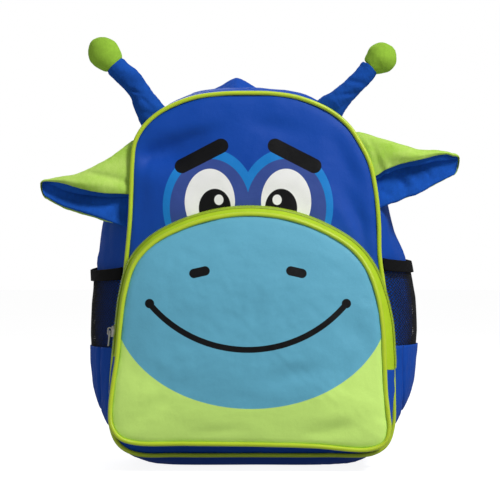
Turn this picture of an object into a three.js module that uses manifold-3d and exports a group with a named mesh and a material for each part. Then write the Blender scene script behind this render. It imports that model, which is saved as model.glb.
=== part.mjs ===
// A child's rucksack whose front is an animal's head. The stuffed cloth body stands on its flat base. A big
// rounded front pocket makes the muzzle, with folded plush ears and two stuffed horns sewn into the front
// seam, a net pocket on each side, and padded shoulder straps and a grab handle behind.
// Millimetres. +Z is up, the face looks along -Y, and the wearer's back is towards +Y.

import * as THREE from "three";
import { mergeVertices } from "three/addons/utils/BufferGeometryUtils.js";
import Module from "manifold-3d";

const wasm = await Module();
wasm.setup();

// Seams and walls
const seamGap = 0.3;
const clothWall = 2;
const pipingRadius = 2.2;
const pipingSides = 6;
const bodySegments = 44;
const pocketSegments = 40;

// Body
const bodyHeight = 362;
const bodyHalfWidth = 143;
const bodyDepth = 110;
const frontLean = 12;
const seamLift = 13.5;
const gussetBulge = 14;
const frontCrown = 12;
const backPad = 8;
const backRim = 3;

// Front pocket
const pocketHeight = 229;
const pocketHalfWidth = 137;
const pocketLift = 24.5;
const pocketDepthTop = 28;
const pocketDepthBottom = 40;
const pocketFlare = 9;
const pocketBulge = 2.5;
const pocketCrown = 12;

// Zips
const zipWidth = 27;
const zipWall = 1.4;
const coilWidth = 6;
const coilRise = 1.4;
const mainZipPlace = 0.67;
const mainZipEnd = 252;
const pocketZipEndLeft = 113;
const pocketZipEndRight = 100;

// Sliders and the pocket's pull
const sliderLength = 11;
const sliderWidth = 8;
const sliderRise = 2.4;
const bridgeWidth = 2.2;
const bridgeWall = 1.2;
const bridgeClear = 3;
const bridgeLength = 8;
const pullLength = 15;
const pullWidth = 7;
const pullBar = 1.2;
const pullEye = 5;
const pocketSliderHeight = 137;
const mainSliderHeight = 262;

// Ears
const earHeight = 85;
const earSpread = 13;
const earPlush = 2.6;
const earPad = 5;
const earSet = 8;

// Horns
const hornBall = 15.8;
const hornSides = 12;
const hornSet = 10;

// Side pockets
const sidePocketBottom = 34;
const netTopLeft = 201;
const netTopRight = 209;
const netBottomLeft = 119;
const netBottomRight = 104;
const bindingHeight = 12.5;
const bindingWall = 2.4;
const netWall = 1.4;
const sidePocketBulgeLeft = 9.5;
const sidePocketBulgeRight = 12.5;
const netPitch = 21;
const netGap = 16;

// Straps and handle
const strapWidth = 50;
const strapPad = 9;
const strapReach = 56;
const webbingWidth = 25;
const webbingWall = 1.8;
const bucklePlate = 4;
const buckleBar = 4;
const buckleWindow = 6.5;
const handleWidth = 22;
const handleWall = 4;
const handleRise = 22;

// Half outlines of the body's two seams, from the bottom's middle round the side to the top's middle.
// Widths are shares of bodyHalfWidth, rises of bodyHeight and bulge of gussetBulge.
const bodyStations = [
  { left: 0.0, right: 0.0, rise: 0.0, backLeft: 0.0, backRight: 0.0, backRise: -0.021, bulge: 1.0 },
  { left: 0.5, right: 0.52, rise: 0.0, backLeft: 0.5, backRight: 0.5, backRise: -0.021, bulge: 1.0 },
  { left: 0.8, right: 0.85, rise: 0.004, backLeft: 0.82, backRight: 0.84, backRise: -0.018, bulge: 1.0 },
  { left: 0.915, right: 0.952, rise: 0.03, backLeft: 0.95, backRight: 0.96, backRise: 0.004, bulge: 0.75 },
  { left: 0.97, right: 0.997, rise: 0.08, backLeft: 1.01, backRight: 1.02, backRise: 0.058, bulge: 0.42 },
  { left: 0.972, right: 1.003, rise: 0.16, backLeft: 1.045, backRight: 1.04, backRise: 0.15, bulge: 0.24 },
  { left: 0.944, right: 0.987, rise: 0.31, backLeft: 1.07, backRight: 1.04, backRise: 0.3, bulge: 0.15 },
  { left: 0.885, right: 0.937, rise: 0.46, backLeft: 1.066, backRight: 1.03, backRise: 0.46, bulge: 0.2 },
  { left: 0.862, right: 0.907, rise: 0.55, backLeft: 1.088, backRight: 1.062, backRise: 0.55, bulge: 0.45 },
  { left: 0.842, right: 0.902, rise: 0.64, backLeft: 1.046, backRight: 0.995, backRise: 0.64, bulge: 0.5 },
  { left: 0.832, right: 0.881, rise: 0.728, backLeft: 0.975, backRight: 0.935, backRise: 0.728, bulge: 0.5 },
  { left: 0.825, right: 0.84, rise: 0.805, backLeft: 0.91, backRight: 0.87, backRise: 0.8, bulge: 0.45 },
  { left: 0.807, right: 0.77, rise: 0.862, backLeft: 0.84, backRight: 0.795, backRise: 0.862, bulge: 0.4 },
  { left: 0.74, right: 0.69, rise: 0.909, backLeft: 0.745, backRight: 0.705, backRise: 0.908, bulge: 0.45 },
  { left: 0.615, right: 0.56, rise: 0.951, backLeft: 0.6, backRight: 0.575, backRise: 0.946, bulge: 0.6 },
  { left: 0.405, right: 0.35, rise: 0.986, backLeft: 0.39, backRight: 0.36, backRise: 0.977, bulge: 0.7 },
  { left: 0.2, right: 0.17, rise: 0.998, backLeft: 0.19, backRight: 0.18, backRise: 0.988, bulge: 0.72 },
  { left: 0.0, right: 0.0, rise: 1.0, backLeft: 0.0, backRight: 0.0, backRise: 0.99, bulge: 0.72 },
];

// Half outlines of the pocket's front seam. Widths are shares of pocketHalfWidth, rises of pocketHeight
// and flare, by which the gusset spreads towards the body, of pocketFlare.
const pocketStations = [
  { left: 0.0, leftRise: 0.015, right: 0.0, rightRise: 0.015, flare: 0.55 },
  { left: 0.45, leftRise: 0.018, right: 0.45, rightRise: 0.008, flare: 0.5 },
  { left: 0.83, leftRise: 0.022, right: 0.86, rightRise: -0.006, flare: 0.25 },
  { left: 0.935, leftRise: 0.045, right: 0.965, rightRise: 0.024, flare: 0.1 },
  { left: 0.987, leftRise: 0.09, right: 0.995, rightRise: 0.08, flare: 0.15 },
  { left: 0.999, leftRise: 0.15, right: 0.988, rightRise: 0.14, flare: 0.25 },
  { left: 0.985, leftRise: 0.25, right: 0.972, rightRise: 0.23, flare: 0.4 },
  { left: 0.952, leftRise: 0.385, right: 0.963, rightRise: 0.37, flare: 0.6 },
  { left: 0.93, leftRise: 0.53, right: 0.95, rightRise: 0.53, flare: 0.6 },
  { left: 0.9, leftRise: 0.66, right: 0.912, rightRise: 0.66, flare: 0.65 },
  { left: 0.832, leftRise: 0.785, right: 0.845, rightRise: 0.765, flare: 0.85 },
  { left: 0.7, leftRise: 0.873, right: 0.735, rightRise: 0.85, flare: 0.95 },
  { left: 0.5, leftRise: 0.938, right: 0.53, rightRise: 0.927, flare: 1.0 },
  { left: 0.26, leftRise: 0.983, right: 0.28, rightRise: 0.981, flare: 1.0 },
  { left: 0.0, leftRise: 1.0, right: 0.0, rightRise: 1.0, flare: 1.0 },
];

// Soft dents of the two stuffed fronts. Places are shares of the half width and of the height, reach a share
// of the half width, and depth a share of the front's crown.
const frontDents = [
  { across: -0.4, rise: 0.87, reach: 0.22, depth: 0.3 },
  { across: -0.62, rise: 0.68, reach: 0.2, depth: 0.25 },
  { across: 0.66, rise: 0.62, reach: 0.2, depth: 0.2 },
];
const pocketDents = [
  { across: -0.55, rise: 0.36, reach: 0.3, depth: 0.16 },
  { across: 0.6, rise: 0.4, reach: 0.3, depth: 0.14 },
];

// Folded ears, from the seam to the tip. Each hangs over its ridge in two leaves: the plush front leaf ends
// at plush, its turned-over blue edge at roll, and the longer rear leaf at lobe. Heights are shares of
// earHeight over the root, and spread is a share of earSpread.
const ears = [
  {
    name: "left",
    side: -1,
    root: 0.825,
    reach: 91,
    rise: 0.631,
    sections: [
      { along: -0.08, ridge: 1.0, plush: 0.385, roll: 0.35, lobe: 0.0, spread: 0.35 },
      { along: 0.0, ridge: 1.0, plush: 0.385, roll: 0.35, lobe: 0.0, spread: 0.35 },
      { along: 0.14, ridge: 0.905, plush: 0.39, roll: 0.346, lobe: 0.028, spread: 0.6 },
      { along: 0.3, ridge: 0.797, plush: 0.395, roll: 0.341, lobe: 0.06, spread: 0.85 },
      { along: 0.47, ridge: 0.703, plush: 0.416, roll: 0.355, lobe: 0.115, spread: 1.0 },
      { along: 0.64, ridge: 0.623, plush: 0.46, roll: 0.381, lobe: 0.162, spread: 0.9 },
      { along: 0.8, ridge: 0.592, plush: 0.508, roll: 0.42, lobe: 0.215, spread: 0.7 },
      { along: 0.92, ridge: 0.568, plush: 0.515, roll: 0.46, lobe: 0.285, spread: 0.5 },
      { along: 1.0, ridge: 0.505, plush: 0.46, roll: 0.44, lobe: 0.37, spread: 0.28 },
    ],
  },
  {
    name: "right",
    side: 1,
    root: 0.783,
    reach: 97,
    rise: 0.66,
    sections: [
      { along: -0.08, ridge: 0.974, plush: 0.371, roll: 0.326, lobe: 0.035, spread: 0.35 },
      { along: 0.0, ridge: 0.974, plush: 0.371, roll: 0.326, lobe: 0.035, spread: 0.35 },
      { along: 0.14, ridge: 0.938, plush: 0.467, roll: 0.418, lobe: 0.085, spread: 0.6 },
      { along: 0.3, ridge: 0.892, plush: 0.57, roll: 0.515, lobe: 0.143, spread: 0.85 },
      { along: 0.47, ridge: 0.835, plush: 0.629, roll: 0.566, lobe: 0.211, spread: 1.0 },
      { along: 0.64, ridge: 0.785, plush: 0.668, roll: 0.599, lobe: 0.297, spread: 0.9 },
      { along: 0.8, ridge: 0.777, plush: 0.702, roll: 0.64, lobe: 0.387, spread: 0.7 },
      { along: 0.92, ridge: 0.755, plush: 0.7, roll: 0.648, lobe: 0.46, spread: 0.5 },
      { along: 1.0, ridge: 0.66, plush: 0.615, roll: 0.595, lobe: 0.54, spread: 0.28 },
    ],
  },
];

// Horns, from inside the seam to the joint with the ball, and from there to the ball's end. across and rise
// are shares of reach and climb, and girth is a share of hornBall.
const horns = [
  {
    name: "left",
    side: -1,
    root: 0.64,
    rootRise: 0.91,
    reach: 45,
    climb: 62,
    stalk: [
      { across: -0.15, rise: -0.2, girth: 1.0 },
      { across: 0.12, rise: 0.145, girth: 0.95 },
      { across: 0.32, rise: 0.39, girth: 0.8 },
      { across: 0.43, rise: 0.55, girth: 0.68 },
      { across: 0.63, rise: 0.74, girth: 0.72 },
      { across: 0.855, rise: 0.89, girth: 0.69 },
      { across: 0.993, rise: 0.994, girth: 0.665 },
    ],
    ball: [
      { across: 1.069, rise: 1.053, girth: 0.84 },
      { across: 1.176, rise: 1.135, girth: 0.985 },
      { across: 1.283, rise: 1.217, girth: 1.0 },
      { across: 1.389, rise: 1.299, girth: 0.8 },
      { across: 1.458, rise: 1.352, girth: 0.5 },
      { across: 1.496, rise: 1.381, girth: 0.22 },
    ],
  },
  {
    name: "right",
    side: 1,
    root: 0.49,
    rootRise: 0.935,
    reach: 52,
    climb: 52,
    stalk: [
      { across: -0.12, rise: -0.2, girth: 1.0 },
      { across: 0.187, rise: 0.144, girth: 0.937 },
      { across: 0.365, rise: 0.317, girth: 0.734 },
      { across: 0.554, rise: 0.498, girth: 0.627 },
      { across: 0.86, rise: 0.804, girth: 0.6 },
      { across: 0.983, rise: 0.973, girth: 0.617 },
    ],
    ball: [
      { across: 1.058, rise: 1.033, girth: 0.785 },
      { across: 1.148, rise: 1.104, girth: 0.96 },
      { across: 1.238, rise: 1.175, girth: 0.975 },
      { across: 1.335, rise: 1.253, girth: 0.8 },
      { across: 1.395, rise: 1.3, girth: 0.5 },
      { across: 1.433, rise: 1.33, girth: 0.22 },
    ],
  },
];

// Side pockets: how far they stand off the body, as shares of each one's bulge, by share of their height
const sidePocketSwell = [
  { rise: 0.0, out: 0.02 },
  { rise: 0.04, out: 0.12 },
  { rise: 0.11, out: 0.36 },
  { rise: 0.26, out: 0.73 },
  { rise: 0.4, out: 0.87 },
  { rise: 0.56, out: 1.0 },
  { rise: 0.77, out: 0.92 },
  { rise: 0.91, out: 0.65 },
  { rise: 1.0, out: 0.55 },
];
const sidePocketShares = [0.05, 0.075, 0.2, 0.36, 0.52, 0.68, 0.82, 0.93, 0.955];

// Shoulder straps, from the top of the back down to the buckle. across is a share of bodyHalfWidth, rise of
// bodyHeight, out of strapReach, width of strapWidth and pad of strapPad.
const strapStations = [
  { across: 0.195, rise: 0.86, out: -0.1, width: 0.86, pad: 0.5 },
  { across: 0.21, rise: 0.91, out: 0.06, width: 0.88, pad: 0.6 },
  { across: 0.235, rise: 0.94, out: 0.3, width: 0.92, pad: 0.9 },
  { across: 0.28, rise: 0.92, out: 0.62, width: 0.98, pad: 1.0 },
  { across: 0.34, rise: 0.84, out: 0.88, width: 1.0, pad: 1.0 },
  { across: 0.41, rise: 0.73, out: 1.0, width: 1.0, pad: 1.0 },
  { across: 0.47, rise: 0.61, out: 0.97, width: 0.96, pad: 1.0 },
  { across: 0.52, rise: 0.5, out: 0.85, width: 0.86, pad: 1.0 },
  { across: 0.555, rise: 0.42, out: 0.72, width: 0.72, pad: 0.85 },
  { across: 0.575, rise: 0.375, out: 0.63, width: 0.6, pad: 0.5 },
];
const buckleDrop = 22;
const anchorPlace = { across: 0.72, rise: 0.05 };
const anchorSide = 44;

// Grab handle, from one sewn end over its peak to the other. Places are shares of bodyHalfWidth and
// handleRise, and tilt is how far its lower edge leans out to the front, in degrees from flat.
const handleStations = [
  { across: -0.47, rise: -0.45, tilt: 45 },
  { across: -0.43, rise: -0.04, tilt: 42 },
  { across: -0.34, rise: 0.2, tilt: 38 },
  { across: -0.22, rise: 0.52, tilt: 38 },
  { across: -0.13, rise: 0.88, tilt: 38 },
  { across: -0.08, rise: 0.88, tilt: 38 },
  { across: -0.01, rise: 0.66, tilt: 38 },
  { across: 0.08, rise: 0.3, tilt: 38 },
  { across: 0.13, rise: -0.05, tilt: 42 },
  { across: 0.17, rise: -0.6, tilt: 45 },
];

const colours = {
  blueCloth: 0x0b3a9e,
  limeCloth: 0xb4dc68,
  limePiping: 0xb9cf22,
  limeZip: 0xa5c414,
  bluePlush: 0x1846a8,
  limePlush: 0x9ccc52,
  blackNet: 0x101012,
  blackPlastic: 0x17171a,
  metal: 0xc9c9cc,
};

const mix = THREE.MathUtils.lerp;

// Closed bodies from points and triangles, turned so that their faces point out
function closedGeometry(points, faces) {
  let volume = 0;
  for (const [a, b, c] of faces) {
    volume += points[a].dot(new THREE.Vector3().crossVectors(points[b], points[c]));
  }
  const outward = volume < 0 ? faces.map(([a, b, c]) => [a, c, b]) : faces;
  return new THREE.BufferGeometry().setFromPoints(points).setIndex(outward.flat());
}

function toSolid(geometry) {
  const bare = new THREE.BufferGeometry();
  bare.setAttribute("position", geometry.getAttribute("position"));
  bare.setIndex(geometry.index);
  const merged = mergeVertices(bare, 1e-4);
  const vertProperties = new Float32Array(merged.attributes.position.array);
  const triVerts = new Uint32Array(merged.index.array);
  return new wasm.Manifold(new wasm.Mesh({ numProp: 3, vertProperties, triVerts }));
}

function toGeometry(solid) {
  const { numProp, numVert, vertProperties, triVerts } = solid.getMesh();
  const points = [];
  for (let i = 0; i < numVert; i++) {
    points.push(new THREE.Vector3().fromArray(vertProperties, i * numProp));
  }
  return new THREE.BufferGeometry().setFromPoints(points).setIndex([...triVerts]);
}

// The largest of the bodies that a cut leaves
function mainBody(solid) {
  return solid.decompose().reduce((best, piece) => (piece.volume() > best.volume() ? piece : best));
}

// The direction of a line of points at one of them
function directionAt(line, i) {
  return line[Math.min(i + 1, line.length - 1)].clone().sub(line[Math.max(i - 1, 0)]).normalize();
}

// A solid through rows of points that are loops of equal length. Its ends are capped, or meet if it is a ring.
function loft(loops, ring = false) {
  const size = loops[0].length;
  const points = loops.flat().map((p) => p.clone());
  const faces = [];
  const rows = ring ? loops.length : loops.length - 1;
  for (let i = 0; i < rows; i++) {
    const next = (i + 1) % loops.length;
    for (let j = 0; j < size; j++) {
      const a = i * size + j;
      const b = i * size + ((j + 1) % size);
      const c = next * size + ((j + 1) % size);
      const d = next * size + j;
      faces.push([a, b, c], [a, c, d]);
    }
  }
  if (!ring) {
    for (const row of [0, loops.length - 1]) {
      const middle = points.length;
      const centre = loops[row].reduce((sum, p) => sum.add(p), new THREE.Vector3());
      points.push(centre.divideScalar(size));
      for (let j = 0; j < size; j++) {
        const a = row * size + j;
        const b = row * size + ((j + 1) % size);
        faces.push(row ? [a, b, middle] : [b, a, middle]);
      }
    }
  }
  return closedGeometry(points, faces);
}

// A sheet with a thickness, from rows of its outer and its inner points
function thickSheet(outer, inner) {
  return sheetOf(outer.map((row, i) => [...row, ...[...inner[i]].reverse()]));
}

// A solid from section loops whose first half is one face and whose second half, reversed, is the other, so
// that thin curved ends are capped by strips
function sheetOf(loops) {
  const size = loops[0].length;
  const points = loops.flat().map((p) => p.clone());
  const faces = [];
  for (let i = 0; i < loops.length - 1; i++) {
    for (let j = 0; j < size; j++) {
      const a = i * size + j;
      const b = i * size + ((j + 1) % size);
      faces.push([a, b, b + size], [a, b + size, a + size]);
    }
  }
  for (const row of [0, loops.length - 1]) {
    for (let j = 0; j < size / 2 - 1; j++) {
      const a = row * size + j;
      const b = a + 1;
      const c = row * size + size - 2 - j;
      const d = c + 1;
      const strip = [[b, a, d], [b, d, c]];
      faces.push(...(row ? strip.map(([p, q, r]) => [p, r, q]) : strip));
    }
  }
  return closedGeometry(points, faces);
}

// Closed outline in the XZ plane through the stations of its two sides
function outlineOf(right, left, segments) {
  const round = [...right, ...left.slice(1, -1).reverse()].map(([x, z]) => new THREE.Vector3(x, 0, z));
  const curve = new THREE.CatmullRomCurve3(round, true, "centripetal");
  return Array.from({ length: segments }, (_, i) => curve.getPoint(i / segments));
}

// A quantity of the stations, carried round an outline of as many segments
function roundStations(stations, segments, key) {
  const mirrored = [...stations, ...stations.slice(1, -1).reverse()];
  return Array.from({ length: segments }, (_, i) => {
    const place = (i / segments) * mirrored.length;
    const at = Math.floor(place);
    return mix(mirrored[at][key], mirrored[(at + 1) % mirrored.length][key], place - at);
  });
}

// Moves each point of an outline outwards in the XZ plane, by a distance or by a distance for each point
function grow(loop, distance) {
  return loop.map((p, i) => {
    const before = loop[(i + loop.length - 1) % loop.length];
    const after = loop[(i + 1) % loop.length];
    const along = after.clone().sub(before).setY(0).normalize();
    const by = typeof distance === "number" ? distance : distance[i];
    return new THREE.Vector3(p.x + along.z * by, p.y, p.z - along.x * by);
  });
}

// How far out a point lies between the outline's centre, 0, and the outline, 1
function shareOfOutline(loop, centre, x, z) {
  const dx = x - centre.x;
  const dz = z - centre.z;
  for (let i = 0; i < loop.length; i++) {
    const a = loop[i];
    const b = loop[(i + 1) % loop.length];
    const ex = b.x - a.x;
    const ez = b.z - a.z;
    const cross = dx * ez - dz * ex;
    if (Math.abs(cross) < 1e-9) continue;
    const t = ((a.x - centre.x) * ez - (a.z - centre.z) * ex) / cross;
    const u = ((a.x - centre.x) * dz - (a.z - centre.z) * dx) / cross;
    if (t > 0 && u >= 0 && u <= 1) return 1 / t;
  }
  return 0;
}

// Body shape: the front seam leans back, and the gusset spreads quickly and bulges between the two seams
function frontSeamY(z) {
  return -bodyDepth + (frontLean * (z - seamLift)) / bodyHeight;
}

function bodyLoop(share, offset = 0) {
  const spread = 1 - (1 - share) ** 2;
  const half = (side, front, back) =>
    bodyStations.map((s) => {
      const rise = mix(s.rise, s.backRise, share);
      return [side * bodyHalfWidth * mix(s[front], s[back], spread), seamLift + bodyHeight * rise];
    });
  const outline = outlineOf(half(1, "right", "backRight"), half(-1, "left", "backLeft"), bodySegments);
  const swell = gussetBulge * 4 * share * (1 - share);
  const bulges = roundStations(bodyStations, bodySegments, "bulge").map((bulge) => bulge * swell);
  const bulged = grow(outline, bulges);
  for (const p of bulged) p.z = Math.max(p.z, 0);
  const grown = grow(bulged, offset);
  for (const p of grown) {
    p.y = mix(frontSeamY(p.z) + pipingRadius + seamGap, -seamGap, share);
  }
  return grown;
}

const frontSeam = bodyLoop(0).map((p) => new THREE.Vector3(p.x, frontSeamY(p.z), p.z));
const frontCentre = new THREE.Vector3(0, 0, seamLift + bodyHeight * 0.48);
const frontRim = grow(frontSeam, -(pipingRadius + seamGap));

function dentDepth(dents, halfWidth, lift, height, x, z) {
  let depth = 0;
  for (const dent of dents) {
    const reach = dent.reach * halfWidth;
    const away = Math.hypot(x - dent.across * halfWidth, z - lift - dent.rise * height) / reach;
    depth += dent.depth * Math.exp(-away * away);
  }
  return depth;
}

// Height of a crowned front over its seam plane, at its share of the way out
function crownAt(share, crown, dent) {
  const dome = 1 - Math.min(share, 1) ** 2.6;
  return crown * dome * (1 - dent);
}

function frontSurfaceY(x, z) {
  const share = shareOfOutline(frontRim, frontCentre, x, z);
  const dent = dentDepth(frontDents, bodyHalfWidth, seamLift, bodyHeight, x, z);
  return frontSeamY(z) - clothWall / 2 - crownAt(share, frontCrown, dent);
}

// A crowned cloth front: rings of points from the rim to the centre, with a wall of an even depth in Y
function crownedPanel(rim, centre, surfaceY, wall, proud = 0) {
  const shares = [1, 0.93, 0.78, 0.56, 0.3];
  const insideShares = [1, 0.74, 0.3];
  const ringAt = (share, shift) =>
    rim.map((p) => {
      const x = mix(centre.x, p.x, share);
      const z = mix(centre.z, p.z, share);
      return new THREE.Vector3(x, surfaceY(x, z) + shift, z);
    });
  const loops = [
    ...shares.map((share) => ringAt(share, -proud)).reverse(),
    ...insideShares.map((share) => ringAt(share, wall)),
  ];
  return loft(loops);
}

// A tube along a closed seam
function pipingAlong(seam, radius) {
  const loops = seam.map((p, i) => {
    const before = seam[(i + seam.length - 1) % seam.length];
    const after = seam[(i + 1) % seam.length];
    const along = after.clone().sub(before).normalize();
    const out = new THREE.Vector3(0, 1, 0).cross(along).normalize();
    const up = along.clone().cross(out);
    return Array.from({ length: pipingSides }, (_, k) => {
      const turn = (2 * Math.PI * k) / pipingSides;
      return p.clone().addScaledVector(out, radius * Math.cos(turn)).addScaledVector(up, radius * Math.sin(turn));
    });
  });
  return loft(loops, true);
}

// A cloth ring with section rows across its depth, and inner rows a wall inside those chosen
function clothRing(rows, wall, chosen = rows) {
  const inner = chosen.map((row) => grow(row, -wall));
  const loops = rows[0].map((_, i) => [
    ...rows.map((row) => row[i]),
    ...inner.map((row) => row[i]).reverse(),
  ]);
  return loft(loops, true);
}

const gussetShares = [0, 0.14, 0.38, 0.68, 1];

// The zip lies over the gusset between these two shares of its depth
const mainZipHalf = zipWidth / 2 / bodyDepth;
const mainZipShares = [mainZipPlace - mainZipHalf, mainZipPlace + mainZipHalf];

// Rows across a zip: flat tape, and the coil raised along its middle
function zipRows(loopAt, from, to) {
  const middle = (from + to) / 2;
  const coilHalf = (((to - from) / zipWidth) * coilWidth) / 2;
  const profile = [
    { at: from, rise: 0 },
    { at: middle - coilHalf, rise: 0 },
    { at: middle - coilHalf * 0.5, rise: coilRise },
    { at: middle + coilHalf * 0.5, rise: coilRise },
    { at: middle + coilHalf, rise: 0 },
    { at: to, rise: 0 },
  ];
  return profile.map(({ at, rise }) => grow(loopAt(at), rise));
}

function zipRing(rows) {
  return toSolid(clothRing(rows, zipWall, [rows[0], rows[5]]));
}

function makeMainGusset() {
  const rows = gussetShares.map((share) => bodyLoop(share));
  const ring = toSolid(clothRing(rows, clothWall, [rows[0], rows[2], rows[4]]));
  const slotRows = mainZipShares.map((share) => bodyLoop(share, clothWall * 2));
  const slot = toSolid(clothRing(slotRows, clothWall * 5)).trimByPlane([0, 0, 1], mainZipEnd);
  return toGeometry(mainBody(ring.subtract(slot)));
}

const mainZipRows = zipRows(
  bodyLoop,
  mainZipShares[0] + seamGap / bodyDepth,
  mainZipShares[1] - seamGap / bodyDepth,
);

function makeMainZip() {
  return toGeometry(mainBody(zipRing(mainZipRows).trimByPlane([0, 0, 1], mainZipEnd + seamGap)));
}

// The body with its front piping, grown by the seam gap. What is sewn to the body is cut back to this.
const bodyEnvelope = toSolid(loft(gussetShares.map((share) => bodyLoop(share, seamGap)))).add(
  toSolid(pipingAlong(frontSeam, pipingRadius + seamGap)),
);

// The room before the body's front, inside its piping, that ears and horns keep out of
const frontRoom = toSolid(
  loft([-2 * bodyDepth, -bodyDepth / 2].map((y) => grow(frontSeam, pipingRadius + seamGap).map((p) => p.clone().setY(y)))),
);

const backRimLoop = bodyLoop(1).map((p) => new THREE.Vector3(p.x, 0, p.z));

// The padded back, proud of its own surface by a distance on all sides
function backPanel(proud = 0) {
  const rim = grow(backRimLoop, proud);
  const ring = (share, y) =>
    rim.map((p) => new THREE.Vector3(mix(frontCentre.x, p.x, share), y, mix(frontCentre.z, p.z, share)));
  return loft([
    ring(0.9, backPad + proud),
    ring(0.97, (backRim + backPad) / 2 + proud),
    ring(1, backRim + proud),
    ring(1, -proud),
  ]);
}

const backEnvelope = toSolid(backPanel(seamGap));

// Front pocket: its front seam, and its gusset down to the body's front
function pocketSeamY(z) {
  const rise = (z - pocketLift) / pocketHeight;
  return frontSeamY(z) - mix(pocketDepthBottom, pocketDepthTop, rise);
}

function pocketOutline() {
  const half = (side, width, rise) =>
    pocketStations.map((s) => [side * pocketHalfWidth * s[width], pocketLift + pocketHeight * s[rise]]);
  return outlineOf(half(1, "right", "rightRise"), half(-1, "left", "leftRise"), pocketSegments);
}

const pocketSeam = pocketOutline().map((p) => new THREE.Vector3(p.x, pocketSeamY(p.z), p.z));
const pocketCentre = new THREE.Vector3(0, 0, pocketLift + pocketHeight * 0.5);
const pocketRim = grow(pocketSeam, -(pipingRadius + seamGap));

function pocketSurfaceY(x, z) {
  const share = shareOfOutline(pocketRim, pocketCentre, x, z);
  const dent = dentDepth(pocketDents, pocketHalfWidth, pocketLift, pocketHeight, x, z);
  return pocketSeamY(z) - clothWall / 2 - crownAt(share, pocketCrown, dent);
}

// The pocket gusset's loop at a share of its depth, from its front seam to the body's front panel
function pocketLoop(share, offset = 0) {
  const swell = pocketBulge * 4 * share * (1 - share) + offset;
  const spreads = roundStations(pocketStations, pocketSegments, "flare").map(
    (flare) => pocketFlare * flare * share + swell,
  );
  const grown = grow(pocketOutline(), spreads);
  for (const p of grown) {
    const front = pocketSeamY(p.z) + pipingRadius + seamGap;
    const back = Math.min(frontSurfaceY(p.x, p.z), frontSeamY(p.z) - pipingRadius) + clothWall / 2;
    p.y = mix(front, back, share);
  }
  return grown;
}

const frontEnvelope = toSolid(
  crownedPanel(frontRim, frontCentre, frontSurfaceY, clothWall, seamGap),
).add(toSolid(pipingAlong(frontSeam, pipingRadius + seamGap)));

// The line where the pocket's zip ends on each side, as a plane whose up side holds the zip
const zipEndTilt = (pocketZipEndRight - pocketZipEndLeft) / (2 * pocketHalfWidth);
const zipEndNormal = new THREE.Vector3(-zipEndTilt, 0, 1).normalize();
const zipEndOffset = zipEndNormal.z * (pocketZipEndLeft + pocketZipEndRight) * 0.5;

const pocketZipRows = zipRows(pocketLoop, 0, 1);

function makePocketZip() {
  const upper = zipRing(pocketZipRows).trimByPlane(zipEndNormal.toArray(), zipEndOffset + seamGap);
  return toGeometry(mainBody(upper.subtract(frontEnvelope)));
}

function makePocketGusset() {
  const ring = toSolid(clothRing([0, 0.5, 1].map((share) => pocketLoop(share)), clothWall));
  const lower = ring.trimByPlane(zipEndNormal.clone().negate().toArray(), -zipEndOffset);
  return toGeometry(mainBody(lower.subtract(frontEnvelope)));
}

// Frame on a zip's coil at a height on the left side: x across the tape, y up the coil, z outwards
function coilFrame(loopAt, place, height) {
  const middle = loopAt(place);
  const wrap = (i) => (i + 1) % middle.length;
  const at = middle.findIndex((p, i) => p.x < 0 && (p.z - height) * (middle[wrap(i)].z - height) <= 0);
  const next = wrap(at);
  const share = (height - middle[at].z) / (middle[next].z - middle[at].z);
  const pointOf = (loop) => loop[at].clone().lerp(loop[next], share);
  const up = middle[at].clone().sub(middle[next]).normalize();
  const across = pointOf(loopAt(place + 0.1)).sub(pointOf(loopAt(place - 0.1)));
  const out = across.cross(up).normalize();
  if (out.x > 0) out.negate();
  const sideways = up.clone().cross(out);
  const origin = pointOf(middle).addScaledVector(out, coilRise);
  return new THREE.Matrix4().makeBasis(sideways, up, out).setPosition(origin);
}

function shapeOf(points) {
  return new THREE.Shape(points.map(([x, y]) => new THREE.Vector2(x, y)));
}

function extruded(shape, from, to) {
  return new THREE.ExtrudeGeometry(shape, { depth: to - from, bevelEnabled: false }).translate(0, 0, from);
}

// A slider over the coil, with the bridge that its pull hangs from, cut back to the room of its zip
function sliderGeometry(frame, rows) {
  const half = sliderWidth / 2;
  const end = sliderLength / 2;
  const plate = shapeOf([
    [-half * 0.65, -end],
    [half * 0.65, -end],
    [half, end * 0.2],
    [half, end],
    [-half, end],
    [-half, end * 0.2],
  ]);
  const reach = bridgeLength / 2;
  const inner = reach - bridgeWall;
  const arch = shapeOf([
    [-reach, -bridgeWall / 2],
    [reach, -bridgeWall / 2],
    [reach, bridgeClear],
    [inner, bridgeClear + bridgeWall],
    [-inner, bridgeClear + bridgeWall],
    [-reach, bridgeClear],
  ]);
  arch.holes.push(
    shapeOf([
      [-inner, bridgeWall / 2],
      [-inner, bridgeClear],
      [inner, bridgeClear],
      [inner, bridgeWall / 2],
    ]),
  );
  const [sideways, up, out] = [0, 1, 2].map((i) => new THREE.Vector3().setComponent(i, 1));
  const stand = new THREE.Matrix4().makeBasis(up, out, sideways).setPosition(0, 0, sliderRise);
  const bridge = extruded(arch, -bridgeWidth / 2, bridgeWidth / 2).applyMatrix4(stand);
  const body = extruded(plate, -2 * coilRise, sliderRise);
  const room = toSolid(loft(rows.map((row) => grow(row, seamGap))));
  const whole = toSolid(body.applyMatrix4(frame)).add(toSolid(bridge.applyMatrix4(frame)));
  return toGeometry(mainBody(whole.subtract(room)));
}

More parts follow.
